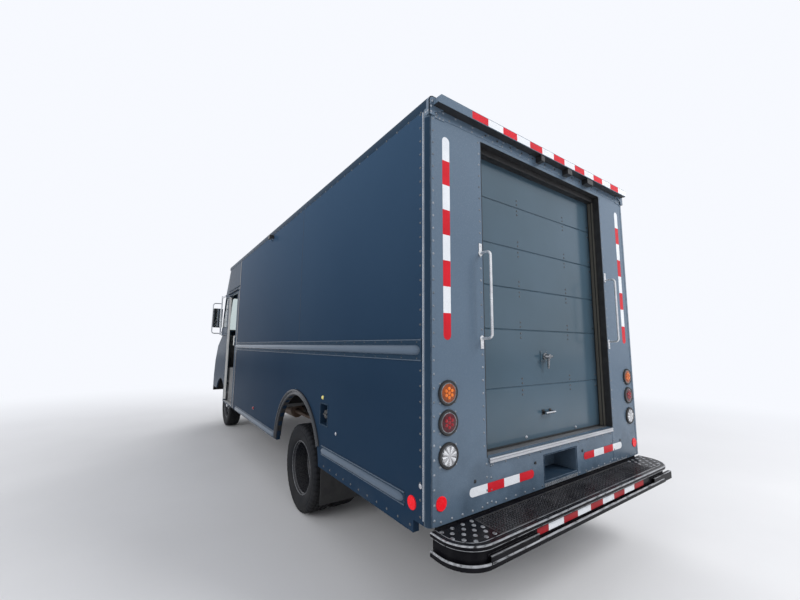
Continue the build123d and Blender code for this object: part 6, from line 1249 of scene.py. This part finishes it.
def swollen_pad(name, low, high, lean):
    """A rounded block that cloth pressure swells, with two channels pressed in and a backrest's lean."""
    shape = Shape()
    shape.box(low, high)
    mesh = bpy.data.meshes.new(name)
    mesh.from_pydata(shape.points, [], shape.faces)
    piece = bpy.data.objects.new(name, mesh)
    bpy.context.scene.collection.objects.link(piece)
    size = [far - near for near, far in zip(low, high)]
    rounding = piece.modifiers.new("rounding", "BEVEL")
    rounding.width = min(size) * 0.42
    rounding.segments = 5
    remesh = piece.modifiers.new("remesh", "REMESH")
    remesh.mode = "VOXEL"
    remesh.voxel_size = 0.007
    settle(piece)
    inflate(piece, 3.0, 0.012)
    middle = (Vector(low) + Vector(high)) / 2
    for vertex in piece.data.vertices:
        point = vertex.co
        across = (point.x - middle.x) / (size[0] / 2)
        channel = 0.006 * max(0.0, 1 - (abs(abs(across) - 0.55) / 0.06) ** 2)
        if lean:
            point.y += channel if point.y < middle.y else 0.0
            point.y += lean * (point.z - low[2]) / size[2]
        elif point.z > middle.z:
            point.z -= channel
    smooth = piece.modifiers.new("smooth", "SUBSURF")
    smooth.levels = 1
    smooth.render_levels = 1
    piece.data.materials.clear()
    piece.data.materials.append(FABRIC)
    piece.data.shade_smooth()
    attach(piece, "truck")
    return piece


cushion = swollen_pad("seat_cushion", (0.334, -2.002, 1.292), (0.786, -1.56, 1.384), 0.0)
swollen_pad("seat_backrest", (0.336, -1.632, 1.36), (0.784, -1.552, 1.995), 0.098)
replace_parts(cushion, "driver_seat")
seat_base = Shape()
seat_base.box((0.41, -1.925, 0.926), (0.71, -1.625, 1.262))
seat_base.box((0.345, -1.99, 1.262), (0.775, -1.56, 1.29))
seat_base.tube([(0.42, -1.94, 1.24), (0.42, -1.955, 1.18), (0.7, -1.955, 1.18), (0.7, -1.94, 1.24)],
               0.007, 8)
seat_base.make("seat_base", BLACK, slot="black_metal", bevel=0.006)
seat_seams = Shape()
for z in (1.38, 1.3):
    corners = [(0.56, -1.992), (0.774, -1.992), (0.774, -1.572), (0.346, -1.572), (0.346, -1.992),
               (0.56, -1.992)]
    seat_seams.tube(bent([(x, y, z) for x, y in corners], 0.04, 6), 0.0045, 8)
seat_seams.make("seat_seams", PIPING, slot="seat_fabric")

# Camera, light and floor
STUDIO_WHITE = (0.93, 0.95, 1.0, 1)
# columns: name, place, aim, width, power
STUDIO_LAMPS = (
    ("key", (-5.0, 10.0, 8.5), (0, 2.0, 1.2), 5.0, 900.0),
    ("side_fill", (9.0, 3.0, 5.0), (0.5, 0.0, 1.2), 6.0, 330.0),
    ("front_fill", (-4.0, -11.0, 7.0), (0, -2.0, 1.2), 6.0, 600.0),
)


def rays_seen(tree, *kinds):
    """1 for rays of any of these kinds, otherwise 0."""
    rays = add_node(tree, "LightPath").outputs
    share = rays[kinds[0]]
    for kind in kinds[1:]:
        share = combine(tree, "MAXIMUM", share, rays[kind])
    return share


def fade_floor(material):
    """Let the floor's far part run into the white background, for direct and see-through views alone."""
    tree = material.node_tree
    place = add_node(tree, "TexCoord").outputs["Object"]
    length = add_node(tree, "VectorMath", [(0, place)], operation="LENGTH").outputs["Value"]
    limits = [("Value", length), ("From Min", 3.5), ("From Max", 12.0)]
    far = add_node(tree, "MapRange", limits, interpolation_type="SMOOTHSTEP").outputs["Result"]
    share = combine(tree, "MULTIPLY", rays_seen(tree, "Is Camera Ray", "Is Transmission Ray"), far)
    glow = add_node(tree, "Emission", [("Color", STUDIO_WHITE)]).outputs["Emission"]
    paint = tree.nodes["Principled BSDF"].outputs["BSDF"]
    mix = add_node(tree, "MixShader", [(0, share), (1, paint), (2, glow)])
    tree.links.new(mix.outputs["Shader"], tree.nodes["Material Output"].inputs["Surface"])


def place_camera():
    """The photo's camera: place, direction, roll and lens."""
    yaw, pitch, roll = 0.61085, 0.1254, 0.00745
    ahead = Vector((-math.sin(yaw), -math.cos(yaw), 0))
    right = Vector((-math.cos(yaw), math.sin(yaw), 0))
    sight = ahead * math.cos(pitch) + Z_AXIS * math.sin(pitch)
    top = Z_AXIS * math.cos(pitch) - ahead * math.sin(pitch)
    level_right = right * math.cos(roll) + top * math.sin(roll)
    level_up = top * math.cos(roll) - right * math.sin(roll)
    camera = bpy.data.objects.new("camera", bpy.data.cameras.new("camera"))
    bpy.context.scene.collection.objects.link(camera)
    turn = Matrix((level_right, level_up, -sight)).transposed().to_4x4()
    camera.matrix_world = Matrix.Translation((2.51, 5.21, 1.59)) @ turn
    camera.data.sensor_width = 36.0
    camera.data.lens = 16.39
    camera.data.clip_start = 0.05
    camera.data.clip_end = 300.0
    bpy.context.scene.camera = camera


def build_stage():
    """Pale floor, three soft lamps that mirrors don't show, and an even white world."""
    for name, place, aim, width, power in STUDIO_LAMPS:
        lamp = bpy.data.objects.new(name, bpy.data.lights.new(name, "AREA"))
        lamp.data.size = width
        lamp.data.energy = power
        lamp.visible_glossy = False
        bpy.context.scene.collection.objects.link(lamp)
        lamp.location = place
        lamp.rotation_euler = (Vector(aim) - Vector(place)).to_track_quat("-Z", "Y").to_euler()
    reach = 60
    corners = [(-reach, -reach, 0), (reach, -reach, 0), (reach, reach, 0), (-reach, reach, 0)]
    mesh = bpy.data.meshes.new("ground")
    mesh.from_pydata(corners, [], [(0, 1, 2, 3)])
    mesh.materials.append(surface("pale_floor", (0.74, 0.74, 0.75), (0.7, 0.7, 0.71), 0.5, (0.7, 0.85),
                                  40, 0.02))
    floor = bpy.data.objects.new("ground", mesh)
    bpy.context.scene.collection.objects.link(floor)
    fade_floor(floor.data.materials[0])
    world = bpy.data.worlds.new("studio")
    world.use_nodes = True
    bpy.context.scene.world = world
    tree = world.node_tree
    seen = rays_seen(tree, "Is Camera Ray", "Is Transmission Ray", "Is Glossy Ray")
    level = add_node(tree, "MapRange", [("Value", seen), ("To Min", 0.62), ("To Max", 1.0)])
    background = tree.nodes["Background"]
    tree.links.new(level.outputs["Result"], background.inputs["Strength"])
    background.inputs["Color"].default_value = STUDIO_WHITE
    bpy.context.scene.view_settings.view_transform = "Standard"


place_camera()
build_stage()
